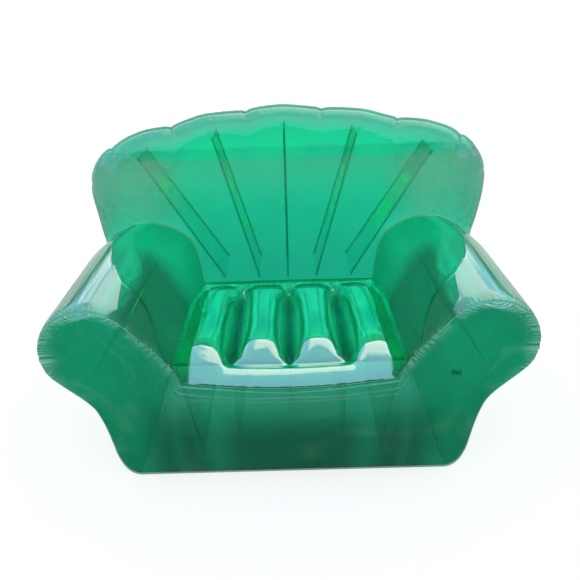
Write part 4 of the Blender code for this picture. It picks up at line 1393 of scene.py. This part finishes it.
@dataclass
class Arm:
    """One side of the base with its arm: the wrapped sheet, the slanting web and the upright web."""

    side: Side
    reach: Reach
    folds: ArmFolds = field(default_factory=ArmFolds)
    web_shares: tuple[float, float] = (0.12, 0.79)
    shine_edge: dict[Side, Sequence[tuple[float, float]]] = field(
        default_factory=lambda: {
            Side.LEFT: ((0, 114), (0.07, 127), (0.18, 132), (0.25, 129), (0.31, 121), (0.37, 104), (0.47, 92)),
            Side.RIGHT: ((0, 130), (0.09, 134), (0.18, 130), (0.26, 123), (0.34, 110), (0.40, 98), (0.47, 92)),
        }
    )
    crown_depth: dict[Side, float] = field(default_factory=lambda: {Side.LEFT: 0.55, Side.RIGHT: 0.30})
    web_inset: float = 0.0012
    web_foot: float = 0.250
    seat_length: float = 0.5075

    def row_shares(self) -> Array:
        """Shares of the way back at which the rows lie, close together in front."""
        front = np.linspace(0, 0.07, 17, endpoint=False)
        middle = np.linspace(0.07, 0.80, 40, endpoint=False)
        valve = np.linspace(0.325, 0.415, 16)
        rear = np.concatenate([np.linspace(0.80, 0.985, 20), np.linspace(0.986, 1, 9)])
        return np.unique(np.concatenate([front, middle, valve, rear]).round(4))

    def wrap_points(self) -> tuple[Array, Array, Array]:
        """Points of the wrapped sheet with each column's angle round the arm and each row's depth."""
        sign = self.side.value
        start = FILM + WELD_GAP
        last = SECTION.points(np.array([SECTION.arm_length]), WRAP_COUNTS)[0] * np.array((sign, 1))
        ends = self.reach.ends(last)
        shares = self.row_shares()
        bent = mix(start, SECTION.arm_length, shares)
        section = SECTION.points(bent, WRAP_COUNTS)
        depth = mix(start, ends[None], shares[:, None])
        points = together(sign * section[..., 0], depth, section[..., 1])
        before = WRAP_COUNTS["corner"] + WRAP_COUNTS["side"] + WRAP_COUNTS["waist"]
        columns = np.arange(points.shape[1])
        arc = WRAP_COUNTS["outer_arc"]
        angle = SECTION.low_angle + (columns - before) / arc * (SECTION.top_angle - SECTION.low_angle)
        inner = columns - before - arc
        turn = SECTION.inner_angle - SECTION.top_angle
        angle = np.where(inner > 0, SECTION.top_angle + inner / WRAP_COUNTS["inner_arc"] * turn, angle)
        return points, np.broadcast_to(angle, depth.shape), depth

    def wrap(self) -> bpy.types.Object:
        """The sheet round base side, waist and arm, down to the seat weld."""
        points, angle, depth = self.wrap_points()
        inside = (self.side.value * SECTION.arm_centre[0], 0.3, SECTION.arm_centre[1] - 0.05)
        sheet = Sheet(f"{self.side.label}_arm_film", points, inside, ARM_FILM)
        run = run_length(points[10])
        off_seat_weld = smooth((run[-1] - run) / 0.02)
        to_skin = points[-1:, :, 1] - depth
        bead = 0.0030 * bell(to_skin - 0.0015, 0.0022) * smooth((angle - 0.2) / 0.4)
        height, pale = self.folds.shaped(angle, depth, self.side)
        sheet.push(height * off_seat_weld + bead)
        at_skin = 0.65 * bell(to_skin, 0.005) * smooth((angle - 0.2) / 0.5)
        # Scatter of the puckers and along the backrest, and the painted reflection streaks along the outer
        # side.
        sheet.milk = np.maximum(self.puckers(angle, depth) + at_skin, pale)
        sheet.deep = self.depth_of_colour(angle, depth)
        limit = np.radians(np.interp(depth, *np.array(self.shine_edge[self.side]).T))
        sheet.dull = smooth((angle - limit) / math.radians(5))
        if self.side is Side.RIGHT:
            sheet.take_valve("base_valve")
        return sheet.build()

    def puckers(self, angle: Array, depth: Array) -> Array:
        """Scatter of the puckers along the front weld."""
        folds = smooth(0.5 + 1.6 * SECTION.seam_gathers.at(angle * SECTION.arm_radius))
        uneven = 0.35 + 0.65 * np.sin(angle * 7.3 + 0.8 * self.side.value) ** 2
        return 0.5 * bell(depth, 0.013) * folds * uneven

    def depth_of_colour(self, angle: Array, depth: Array) -> Array:
        """Depth of colour: most on the arm's inner side in front, less on its crown and outside.

        The deep inner side is painted shade, between the arm and the seat.
        """
        # Painted shade on the inner side, deepest in front.
        inner_shade = smooth((angle - math.radians(102)) / math.radians(30))
        inner_shade = inner_shade * mix(0.9, 0.15, smooth((depth - 0.32) / 0.12))
        outer_side = smooth((math.radians(62) - angle) / math.radians(14))
        crown = smooth((math.radians(112) - angle) / math.radians(14)) * (1 - smooth((depth - 0.30) / 0.12))
        return np.maximum(np.maximum(inner_shade, 0.6 * outer_side), self.crown_depth[self.side] * crown)

    def slanting_web(self) -> bpy.types.Object:
        """The web from the arm's inner shoulder down to the waist."""
        points, _, _ = self.wrap_points()
        low_column = WRAP_COUNTS["corner"] + WRAP_COUNTS["side"] + round(WRAP_COUNTS["waist"] * 0.4)
        high_column = sum(WRAP_COUNTS.values()) - WRAP_COUNTS["inner"]
        shares = self.row_shares()
        rows = points[(shares >= self.web_shares[0]) & (shares <= self.web_shares[1])]
        low, high = rows[:, low_column], rows[:, high_column]
        inset = (high - low) / np.linalg.norm(high - low, axis=1, keepdims=True) * self.web_inset
        name, aside = f"{self.side.label}_slanting_web", (-self.side.value * 0.9, 0.3, 1.6)
        sheet = web_sheet(name, low + inset, high - inset, aside, ARM_WEB_FILM, 12, (0.003, 26, 0))
        share = np.linspace(0, 1, WEB_COLUMNS)
        # Painted glint line along the left web's upper weld.
        glint = smooth((share - 0.93) / 0.04) * bell(sheet.points[..., 1] - 0.12, 0.07)
        sheet.milk = glint * (self.side is Side.LEFT)
        return sheet.build()

    def upright_web(self) -> bpy.types.Object:
        """The upright web between the seat's chamber and the arm."""
        depths = np.linspace(0.070, 0.4375, 40)
        seam = SECTION.seat_seam(depths * SECTION.arm_length / self.seat_length)
        sign = self.side.value
        high = together(sign * seam[:, 0], depths, seam[:, 1] - WEB_WELD)
        low = together(sign * self.web_foot, depths, FLOOR_CLEAR)
        name, aside = f"{self.side.label}_upright_web", (sign * 0.9, 0.3, 0)
        return web_sheet(name, low, high, aside, WEB_FILM, 14, (0.004, 17, sign)).build()

    def build(self) -> None:
        """Builds and hands over the side."""
        label = self.side.label
        hand_over(self.wrap(), f"{label}_arm_wrap")
        hand_over(self.slanting_web(), f"{label}_arm_web")
        hand_over(self.upright_web(), f"{label}_side_web")


@dataclass
class Base:
    """The front panel, one sheet from the floor to both arm tops, and the bottom."""

    reach: Reach
    half_count: int = 110
    bulge: float = 0.034
    arm_bulge: float = 0.022
    gather_depth: float = 0.0042
    seat_gather_depth: float = 0.0008
    veil: float = 0.055
    ridge_milk: float = 300.0
    ridges: tuple[tuple[float, float, float], ...] = (
        (0.011, 0.0016, 0.0016),
        (0.021, 0.0012, 0.0022),
        (0.036, 0.0010, 0.0016),
    )

    def edges(self) -> tuple[Array, Array]:
        """Points of the lower and outer edge and of the upper and inner edge, in pairs from the middle."""
        section = SECTION.points(np.array([0.0]), FRONT_COUNTS)[0]
        top = sum(FRONT_COUNTS[part] for part in ("corner", "side", "waist", "outer_arc"))
        share = np.arange(self.half_count) / self.half_count
        flat = together(SECTION.flat_half * share, 0, 0)
        rim = np.insert(section, 1, 0, axis=1)
        inner = rim[top:][::-1]
        inner_run = run_length(inner)
        spread = np.linspace(0, inner_run[-1], top + 1)
        inner = together(*(np.interp(spread, inner_run, inner[:, axis]) for axis in range(3)))
        return np.concatenate([flat, rim[: top + 1]]), np.concatenate([SECTION.front_seat_seam(share), inner])

    def front_panel(self) -> bpy.types.Object:
        """The front sheet with gathered edges round the arms."""
        lower, upper = self.edges()
        rows = [np.linspace(0, 0.18, 36, endpoint=False), np.linspace(0.18, 0.88, 32, endpoint=False)]
        share = np.concatenate([*rows, np.linspace(0.88, 1, 14)])[:, None]
        column = np.arange(len(lower)) - self.half_count
        on_arm, on_inner = smooth((column - 40) / 40), smooth(column / 30)
        length = np.linalg.norm(upper - lower, axis=1)
        bulge = mix(self.bulge, self.arm_bulge, smooth(column / 60))
        bulge = bulge * np.minimum(1, length / SECTION.corner_height)
        points = mix(upper[None], lower[None], share[..., None])
        points[..., 1] -= bulge * np.sin(math.pi * share) ** 0.8
        from_low, from_high = (1 - share) * length, share * length
        low_run, high_run = run_length(lower), run_length(upper)
        angle = np.arctan2(lower[:, 2] - SECTION.arm_centre[1], lower[:, 0] - SECTION.arm_centre[0])
        low_gathers = SECTION.seam_gathers.at(angle * SECTION.arm_radius)
        high_gathers = Gathers(seed=19, pitch=0.013).at(high_run)
        seat_gathers = Gathers(seed=23, pitch=0.034).at(high_run)
        height = low_gathers * bell(from_low - 0.007, 0.015) * on_arm
        height += high_gathers * bell(from_high - 0.007, 0.015) * on_inner
        height *= smooth(from_low / 0.004) * smooth(from_high / 0.004) * self.gather_depth
        seat_folds = seat_gathers * bell(from_high - 0.012, 0.018) * (1 - on_inner)
        height += self.seat_gather_depth * seat_folds * smooth(from_high / 0.006)
        uneven = 0.5 + 0.5 * np.sin(low_run * 23 + 1.0) * np.sin(low_run * 61)
        low_milk = bell(from_low - 0.006, mix(0.010, 0.034, uneven)) * smooth(0.5 + 1.8 * low_gathers)
        high_milk = bell(from_high - 0.003, 0.011) * smooth(0.5 + 1.8 * high_gathers)
        milk = np.maximum(low_milk * mix(0.35, 1.0, uneven) * on_arm, high_milk * 0.5 * on_inner)
        milk = np.maximum(milk, self.veil * smooth((points[..., 2] - 0.20) / 0.07) * (1 - on_inner))
        for drop, size, width in self.ridges:
            sway = 0.004 * np.sin(high_run * 9 + drop * 300)
            ridge = size * bell(from_high - drop - sway, width) * (1 - on_inner)
            height += ridge
            milk = np.maximum(milk, self.ridge_milk * ridge)
        deep = self.depth_of_colour(points, np.minimum(from_low, from_high))
        points = np.concatenate([points[:, :0:-1] * np.array((-1, 1, 1)), points], axis=1)
        height, milk, deep = (np.concatenate([part[:, :0:-1], part], axis=1) for part in (height, milk, deep))
        sheet = Sheet("front_film", points, (0, 0.6, 0.2), FRONT_FILM, Wall.OUTER, milk=milk, deep=deep)
        sheet.push(height)
        return sheet.build()

    def depth_of_colour(self, points: Array, to_edge: Array) -> Array:
        """Depth of colour: deep in the base, with paler places where light comes through, and at the welds.

        The deep base is painted shade, for the shaded ground under the sofa seen through the film.
        """
        aside = np.abs(points[..., 0])
        # Painted shade: the base is deep where the shaded ground under the sofa would show through.
        base_shade = smooth((0.30 - points[..., 2]) / 0.16) * mix(0.95, 0.22, smooth((aside - 0.29) / 0.12))
        base_shade = base_shade * (1 - 0.40 * bell(aside - 0.19, 0.040) - 0.25 * bell(aside - 0.29, 0.018))
        return np.maximum(base_shade, 0.5 * smooth(1 - to_edge / 0.003))

    def bottom(self) -> bpy.types.Object:
        """The flat sheet that the sofa stands on."""
        across = np.linspace(-1, 1, 81) * (SECTION.flat_half - 0.0006)
        ends = self.reach.ends(together(across, 0))
        rows = np.linspace(0, 1, 40)
        points = together(across, mix(0.0009, ends[None], rows[:, None]), 0)
        edge = np.maximum(np.abs(across / across[-1])[None] ** 40, np.abs(2 * rows - 1)[:, None] ** 40)
        return Sheet("bottom_film", points, (0, 0.3, 1.0), BOTTOM_FILM, Wall.OUTER, deep=edge).build()

    def build(self) -> None:
        """Builds and hands over both sheets."""
        hand_over(self.front_panel(), "front_panel")
        hand_over(self.bottom(), "bottom_panel")


# Seat


@dataclass
class Seat:
    """The seat's top sheet, with four lobes, and the three webs under its grooves."""

    reach: Reach
    lobes: int = 4
    columns: int = 224
    roll_height: float = 0.320
    front_roll: float = 0.058
    dome_start: float = 0.076
    outer_dome_start: float = 0.030
    dome_length: float = 0.080
    valley_depth: float = 0.0055
    crest_rise: float = 0.018
    groove_depth: float = 0.034
    rear_roll: float = 0.070
    names: tuple[str, ...] = ("left", "middle", "right")
    grooves: tuple[float, ...] = (-0.149, 0.0, 0.149)
    fold_ends: tuple[tuple[float, int, float], ...] = ((0.105, -1, 0.0022), (0.435, 1, 0.0016))
    fold_reach: float = 0.05
    rear_gathers: Gathers = Gathers(seed=71, pitch=0.027)
    front_gathers: Gathers = Gathers(seed=72, pitch=0.030)
    side_gathers: Gathers = Gathers(seed=73, pitch=0.022)

    def __post_init__(self) -> None:
        """Finds the rear edge once."""
        self.across = np.linspace(-1, 1, self.columns + 1)
        half, height = SECTION.seat_rear
        self.rear = self.reach.ends(together(self.across * half, height))

    def place(self, across: Array, along: Array) -> Array:
        """Points of the seat: across runs -1 to 1 between the arms, along 0 to 1 from the front."""
        across, along = np.broadcast_arrays(across, along)
        seam_depth = -SECTION.seat_front_bow * (1 - across**2)
        rear = np.interp(across, self.across, self.rear)
        depth = mix(seam_depth, rear, along)
        side = SECTION.seat_seam(along * SECTION.arm_length)
        height = self.height(across, depth - seam_depth, rear - depth, side[..., 1] + FILM + WELD_GAP)
        return together(across * (side[..., 0] - WELD_GAP), depth, height)

    def height(self, across: Array, from_front: Array, from_rear: Array, side_height: Array) -> Array:
        """Height of the seat: rolls at front and rear, and crests and grooves between them."""
        lift = FILM + WELD_GAP
        roll = mix(sine_rise(from_front / self.front_roll), quarter_round(from_front / self.front_roll), 0.35)
        front = mix(SECTION.seat_front_height + lift, self.roll_height + lift, roll)
        share = (across + 1) / 2 * self.lobes
        sharp = mix(3.1, 2.7, smooth((from_front - 0.12) / 0.20))
        hollow = np.where(np.abs(across) < 1, np.abs(2 * (share % 1) - 1) ** sharp, 1)
        to_side = np.abs(across) * self.lobes / 2 - (self.lobes / 2 - 1)
        middle = 1 - smooth((np.abs(across) - 0.46) / 0.14)
        start = mix(self.outer_dome_start, self.dome_start, middle)
        dome = sine_rise((from_front - start) / self.dome_length)
        window = smooth((from_front - 0.052) / 0.085) * smooth((from_rear - 0.012) / 0.140)
        groove = self.groove_depth * hollow * window * (1 - smooth(to_side))
        swell = self.crest_rise + 0.007 * bell(from_front - 0.16, 0.10)
        crest = swell * (1 - hollow) * dome * smooth(from_rear / self.rear_roll - 0.1)
        valley = self.valley_depth * middle * bell(from_front - self.dome_start + 0.004, 0.013)
        rear = (self.roll_height - SECTION.seat_rear[1]) * (1 - quarter_round(from_rear / self.rear_roll))
        height = front - groove + crest - rear - valley
        return mix(height, side_height, smooth(1 - (1 - to_side) / 0.35))

    def panel(self) -> bpy.types.Object:
        """The top sheet with its pinched grooves."""
        rows = [np.linspace(0, 0.3, 56, endpoint=False), np.linspace(0.3, 0.72, 36, endpoint=False)]
        along = np.concatenate([*rows, np.linspace(0.72, 1, 50)])
        points = self.place(self.across[None], along[:, None])
        x, y, z = (points[..., axis] for axis in range(3))
        rear, front = points[-1:, :, 1] - y, y - points[:1, :, 1]
        to_side = (1 - np.abs(self.across))[None] * SECTION.seat_half
        height = self.groove_ends(x, y)
        at_rear = bell(rear - 0.016, 0.022) * smooth(rear / 0.006)
        at_front = bell(front - 0.010, 0.014) * smooth(front / 0.005)
        at_side = bell(to_side - 0.008, 0.014) * smooth(to_side / 0.005) * smooth((front - 0.05) / 0.06)
        height += 0.0022 * self.rear_gathers.at(x + 0.1 * y) * at_rear
        height += 0.0009 * self.front_gathers.at(x) * at_front
        height += 0.0012 * self.side_gathers.at(y) * at_side
        edge = np.minimum(np.minimum(rear, front), to_side)
        sheet = Sheet("seat_film", points, (0, 0.25, 0.1), SEAT_FILM, Wall.OUTER)
        sheet.milk = 0.1 * bell(edge, 0.006)
        corners = smooth((np.abs(x - 0.003) - 0.250) / 0.007) * (1 - smooth((front - 0.09) / 0.05))
        sheet.dull = np.maximum(smooth(1.6 - rear / 0.010), corners)
        # Deeper at the welds, where the film is doubled, and painted shade where the sheet lies low, in the
        # grooves and at the front.
        sheet.deep = 0.5 * smooth(1 - edge / 0.003) + 1.0 - smooth((z - 0.285) / 0.045)
        sheet.push(height)
        return sheet.build()

    def groove_ends(self, x: Array, y: Array) -> Array:
        """Short folds that fan out from both ends of the grooves."""
        height = np.zeros_like(x)
        for groove in self.grooves:
            for end, heading, size in self.fold_ends:
                beyond = (y - end) * heading
                window = smooth((beyond + 0.018) / 0.018) * smooth((self.fold_reach - beyond) / self.fold_reach)
                for slope in (-0.55, -0.12, 0.3, 0.6):
                    line = (x - groove) - slope * (beyond + 0.012)
                    height -= size * bell(line, 0.0042) * window
        return height

    def web(self, index: int, name: str) -> bpy.types.Object:
        """An upright web from a groove down to the bottom."""
        across = 2 * (index + 1) / self.lobes - 1
        top = self.place(np.full(60, across), np.linspace(0.25, 0.87, 60)) - np.array((0, 0, WEB_WELD))
        foot = top * np.array((1, 1, 0)) + np.array((0, 0, FLOOR_CLEAR))
        aside, wave = (0.9, 0.3, 0.1), (0.004, 21, index * 2)
        return web_sheet(f"seat_web_{name}", foot, top, aside, WEB_FILM, 16, wave).build()

    def build(self) -> None:
        """Builds and hands over the seat."""
        hand_over(self.panel(), "seat_panel")
        for index, name in enumerate(self.names):
            hand_over(self.web(index, name), f"seat_rib_{name}")


@dataclass
class Valves:
    """The two air valves, which keep their solids and get a moulded finish."""

    names: tuple[str, ...] = ("base_valve", "back_valve")
    parts: tuple[str, ...] = ("flange", "stem", "cap", "flap")

    def build(self) -> None:
        """Dresses each part of both valves."""
        vinyl = VinylFinish().material()
        for name in self.names:
            for part in self.parts:
                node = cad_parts[f"{name}_{part}"]
                for index in range(len(node.material_slots)):
                    node.material_slots[index].material = vinyl
                LOG.info("%s_%s: keeps its solid", name, part)


# Studio


@dataclass
class Studio:
    """The photographer's place: white floor and walls, a soft sky, a dark card and the camera."""

    floor_radius: float = 4.6
    cove: float = 0.9
    wall_height: float = 1.3
    camera_place: tuple[float, float, float] = (0.0117, -1.5243, 1.1514)
    yaw: float = math.radians(-0.2351)
    pitch: float = math.radians(27.2074)
    roll: float = math.radians(-1.6916)
    lens: float = 36.0
    card_dark: Colour = (0.03, 0.045, 0.04)
    card_light: Colour = (0.32, 0.38, 0.32)
    sky_dim: Colour = (0.10, 0.30, 0.24)
    sky_blue: Colour = (1.5, 2.7, 4.0)
    sky_white: Colour = (4.4, 4.8, 5.3)
    light_low: Colour = (0.95, 0.97, 1.0)
    light_high: Colour = (0.72, 0.86, 0.95)
    backdrop: Colour = (1.0, 1.0, 1.0)

    def white(self) -> bpy.types.Material:
        """Floor and wall paint: white by its own colour, with room for a soft shadow."""
        made, desk = new_material("studio_white", glows=True)
        paint = desk.add("ShaderNodeBsdfDiffuse", None, {"Color": (0.35, 0.35, 0.35, 1)})
        desk.surface(desk.add("ShaderNodeAddShader", None, {0: paint, 1: desk.glow((1, 1, 1, 1), 0.76)}))
        return made

    def floor(self) -> None:
        """A round floor that sweeps up into a wall."""
        select_only()
        bpy.ops.mesh.primitive_circle_add(vertices=96, radius=self.floor_radius, fill_type="NGON")
        floor = bpy.context.active_object
        floor.name = "studio_sweep"
        profile = [
            (self.floor_radius + self.cove * math.sin(turn), self.cove * (1 - math.cos(turn)))
            for turn in np.radians((15, 30, 45, 60, 75, 90))
        ]
        profile.append((self.floor_radius + self.cove, self.wall_height))
        with edit_mode():
            bpy.ops.mesh.select_mode(type="EDGE")
            bpy.ops.mesh.select_all(action="SELECT")
            bpy.ops.mesh.region_to_loop()
            radius, height = self.floor_radius, 0.0
            for next_radius, next_height in profile:
                rise = (0, 0, float(next_height - height))
                bpy.ops.mesh.extrude_edges_move(TRANSFORM_OT_translate={"value": rise})
                grow = float(next_radius / radius)
                bpy.ops.transform.resize(value=(grow, grow, 1), center_override=(0, 0, float(next_height)))
                radius, height = next_radius, next_height
        bpy.ops.object.shade_smooth_by_angle(angle=math.radians(40))
        floor.data.materials.append(self.white())
        floor.location.z = -0.0006

    def dark_card(self, name: str, size: Sequence[float], place: Sequence[float], upright: bool) -> None:
        """A dark card that is only seen mirrored, and stands for the darker place before the sofa.

        Args:
            name: Its name.
            size: Its width and height.
            place: Its middle.
            upright: Whether it stands or lies.
        """
        select_only()
        turn = (math.radians(90), 0, 0) if upright else (0, 0, 0)
        bpy.ops.mesh.primitive_plane_add(size=1, location=place, rotation=turn)
        card = bpy.context.active_object
        card.name = name
        card.scale = (size[0], size[1], 1)
        made, desk = new_material(f"{name}_paint", glows=True)
        spot = desk.add("ShaderNodeNewGeometry").outputs["Position"]
        blotch = desk.noise(spot, 4.5, 3.0).step(0.52, 0.70)
        desk.surface(desk.glow(desk.colours(blotch, self.card_dark, self.card_light)))
        card.data.materials.append(made)
        for ray in ("camera", "diffuse", "transmission", "volume_scatter", "shadow"):
            setattr(card, f"visible_{ray}", False)

    def sky(self) -> None:
        """Plain soft light all round, and for mirror images a pale blue sky with white clouds."""
        world = bpy.data.worlds.new("studio_sky")
        bpy.context.scene.world = world
        world.use_nodes = True
        desk = NodeDesk(world.node_tree)
        heading = desk.add("ShaderNodeTexCoord").outputs["Generated"]
        split = desk.add("ShaderNodeSeparateXYZ", None, {0: heading})
        aside, ahead, up = (Signal(desk, split.outputs[axis]) for axis in range(3))
        cloud = desk.noise(heading, 2.6, 4.0)
        stray = cloud * 0.5 - 0.25
        bank = (ahead + stray).step(0.27, 0.36) * (aside + stray).step(-0.24, -0.12) * up.step(0.4, 0.5)
        low = cloud.step(0.47, 0.56) * (1 - up.step(0.45, 0.60))
        clear = desk.colours((bank + low).kept(), self.sky_blue, self.sky_white)
        lit = up.step(0.45, 0.62).math("MAXIMUM", ahead.step(0.12, 0.36) * up.step(0.20, 0.36))
        bright = desk.colours(lit, self.sky_dim, clear)
        plain = desk.colours(up.step(0.1, 0.7), self.light_low, self.light_high)
        both = desk.colours(desk.signal("ShaderNodeLightPath", output="Is Glossy Ray"), plain, bright)
        seen = desk.colours(desk.signal("ShaderNodeLightPath", output="Is Camera Ray"), both, self.backdrop)
        light = desk.add("ShaderNodeBackground", None, {"Color": seen, "Strength": 1.0})
        desk.add("ShaderNodeOutputWorld", None, {"Surface": light})

    def camera(self) -> None:
        """The camera at the photograph's place, level of view and lens."""
        yaw, pitch, roll = self.yaw, self.pitch, self.roll
        forward = Vector((math.sin(yaw) * math.cos(pitch), math.cos(yaw) * math.cos(pitch), -math.sin(pitch)))
        right = Vector((math.cos(yaw), -math.sin(yaw), 0))
        up = right.cross(forward)
        turned_right = right * math.cos(roll) + up * math.sin(roll)
        turned_up = up * math.cos(roll) - right * math.sin(roll)
        lens = bpy.data.cameras.new("camera")
        lens.lens, lens.sensor_width, lens.sensor_fit = self.lens, 36.0, "HORIZONTAL"
        camera = bpy.data.objects.new("camera", lens)
        turn = Matrix((turned_right, turned_up, -forward)).transposed().to_4x4()
        camera.matrix_world = Matrix.Translation(Vector(self.camera_place)) @ turn
        bpy.context.scene.collection.objects.link(camera)
        bpy.context.scene.camera = camera

    def build(self) -> None:
        """Sets up camera, floor, light and the colour handling."""
        self.camera()
        self.floor()
        self.dark_card("front_card", (9.0, 4.2), (0, -3.3, 2.1), True)
        self.dark_card("floor_card", (9.0, 2.94), (0, -1.83, 0.002), False)
        self.sky()
        bpy.context.scene.view_settings.view_transform = "Standard"
        bpy.context.scene.cycles.transparent_max_bounces = 64
        LOG.info("studio: camera, sweep, card and sky")


def main() -> None:
    """Builds the studio and every sub-assembly in order."""
    logging.basicConfig(level=logging.INFO, format="%(name)s: %(message)s")
    Studio().build()
    skin = Backrest().build()
    reach = Reach(skin)
    for side in Side:
        Arm(side, reach).build()
    Base(reach).build()
    Seat(reach).build()
    Valves().build()


if __name__ == "__main__":
    main()
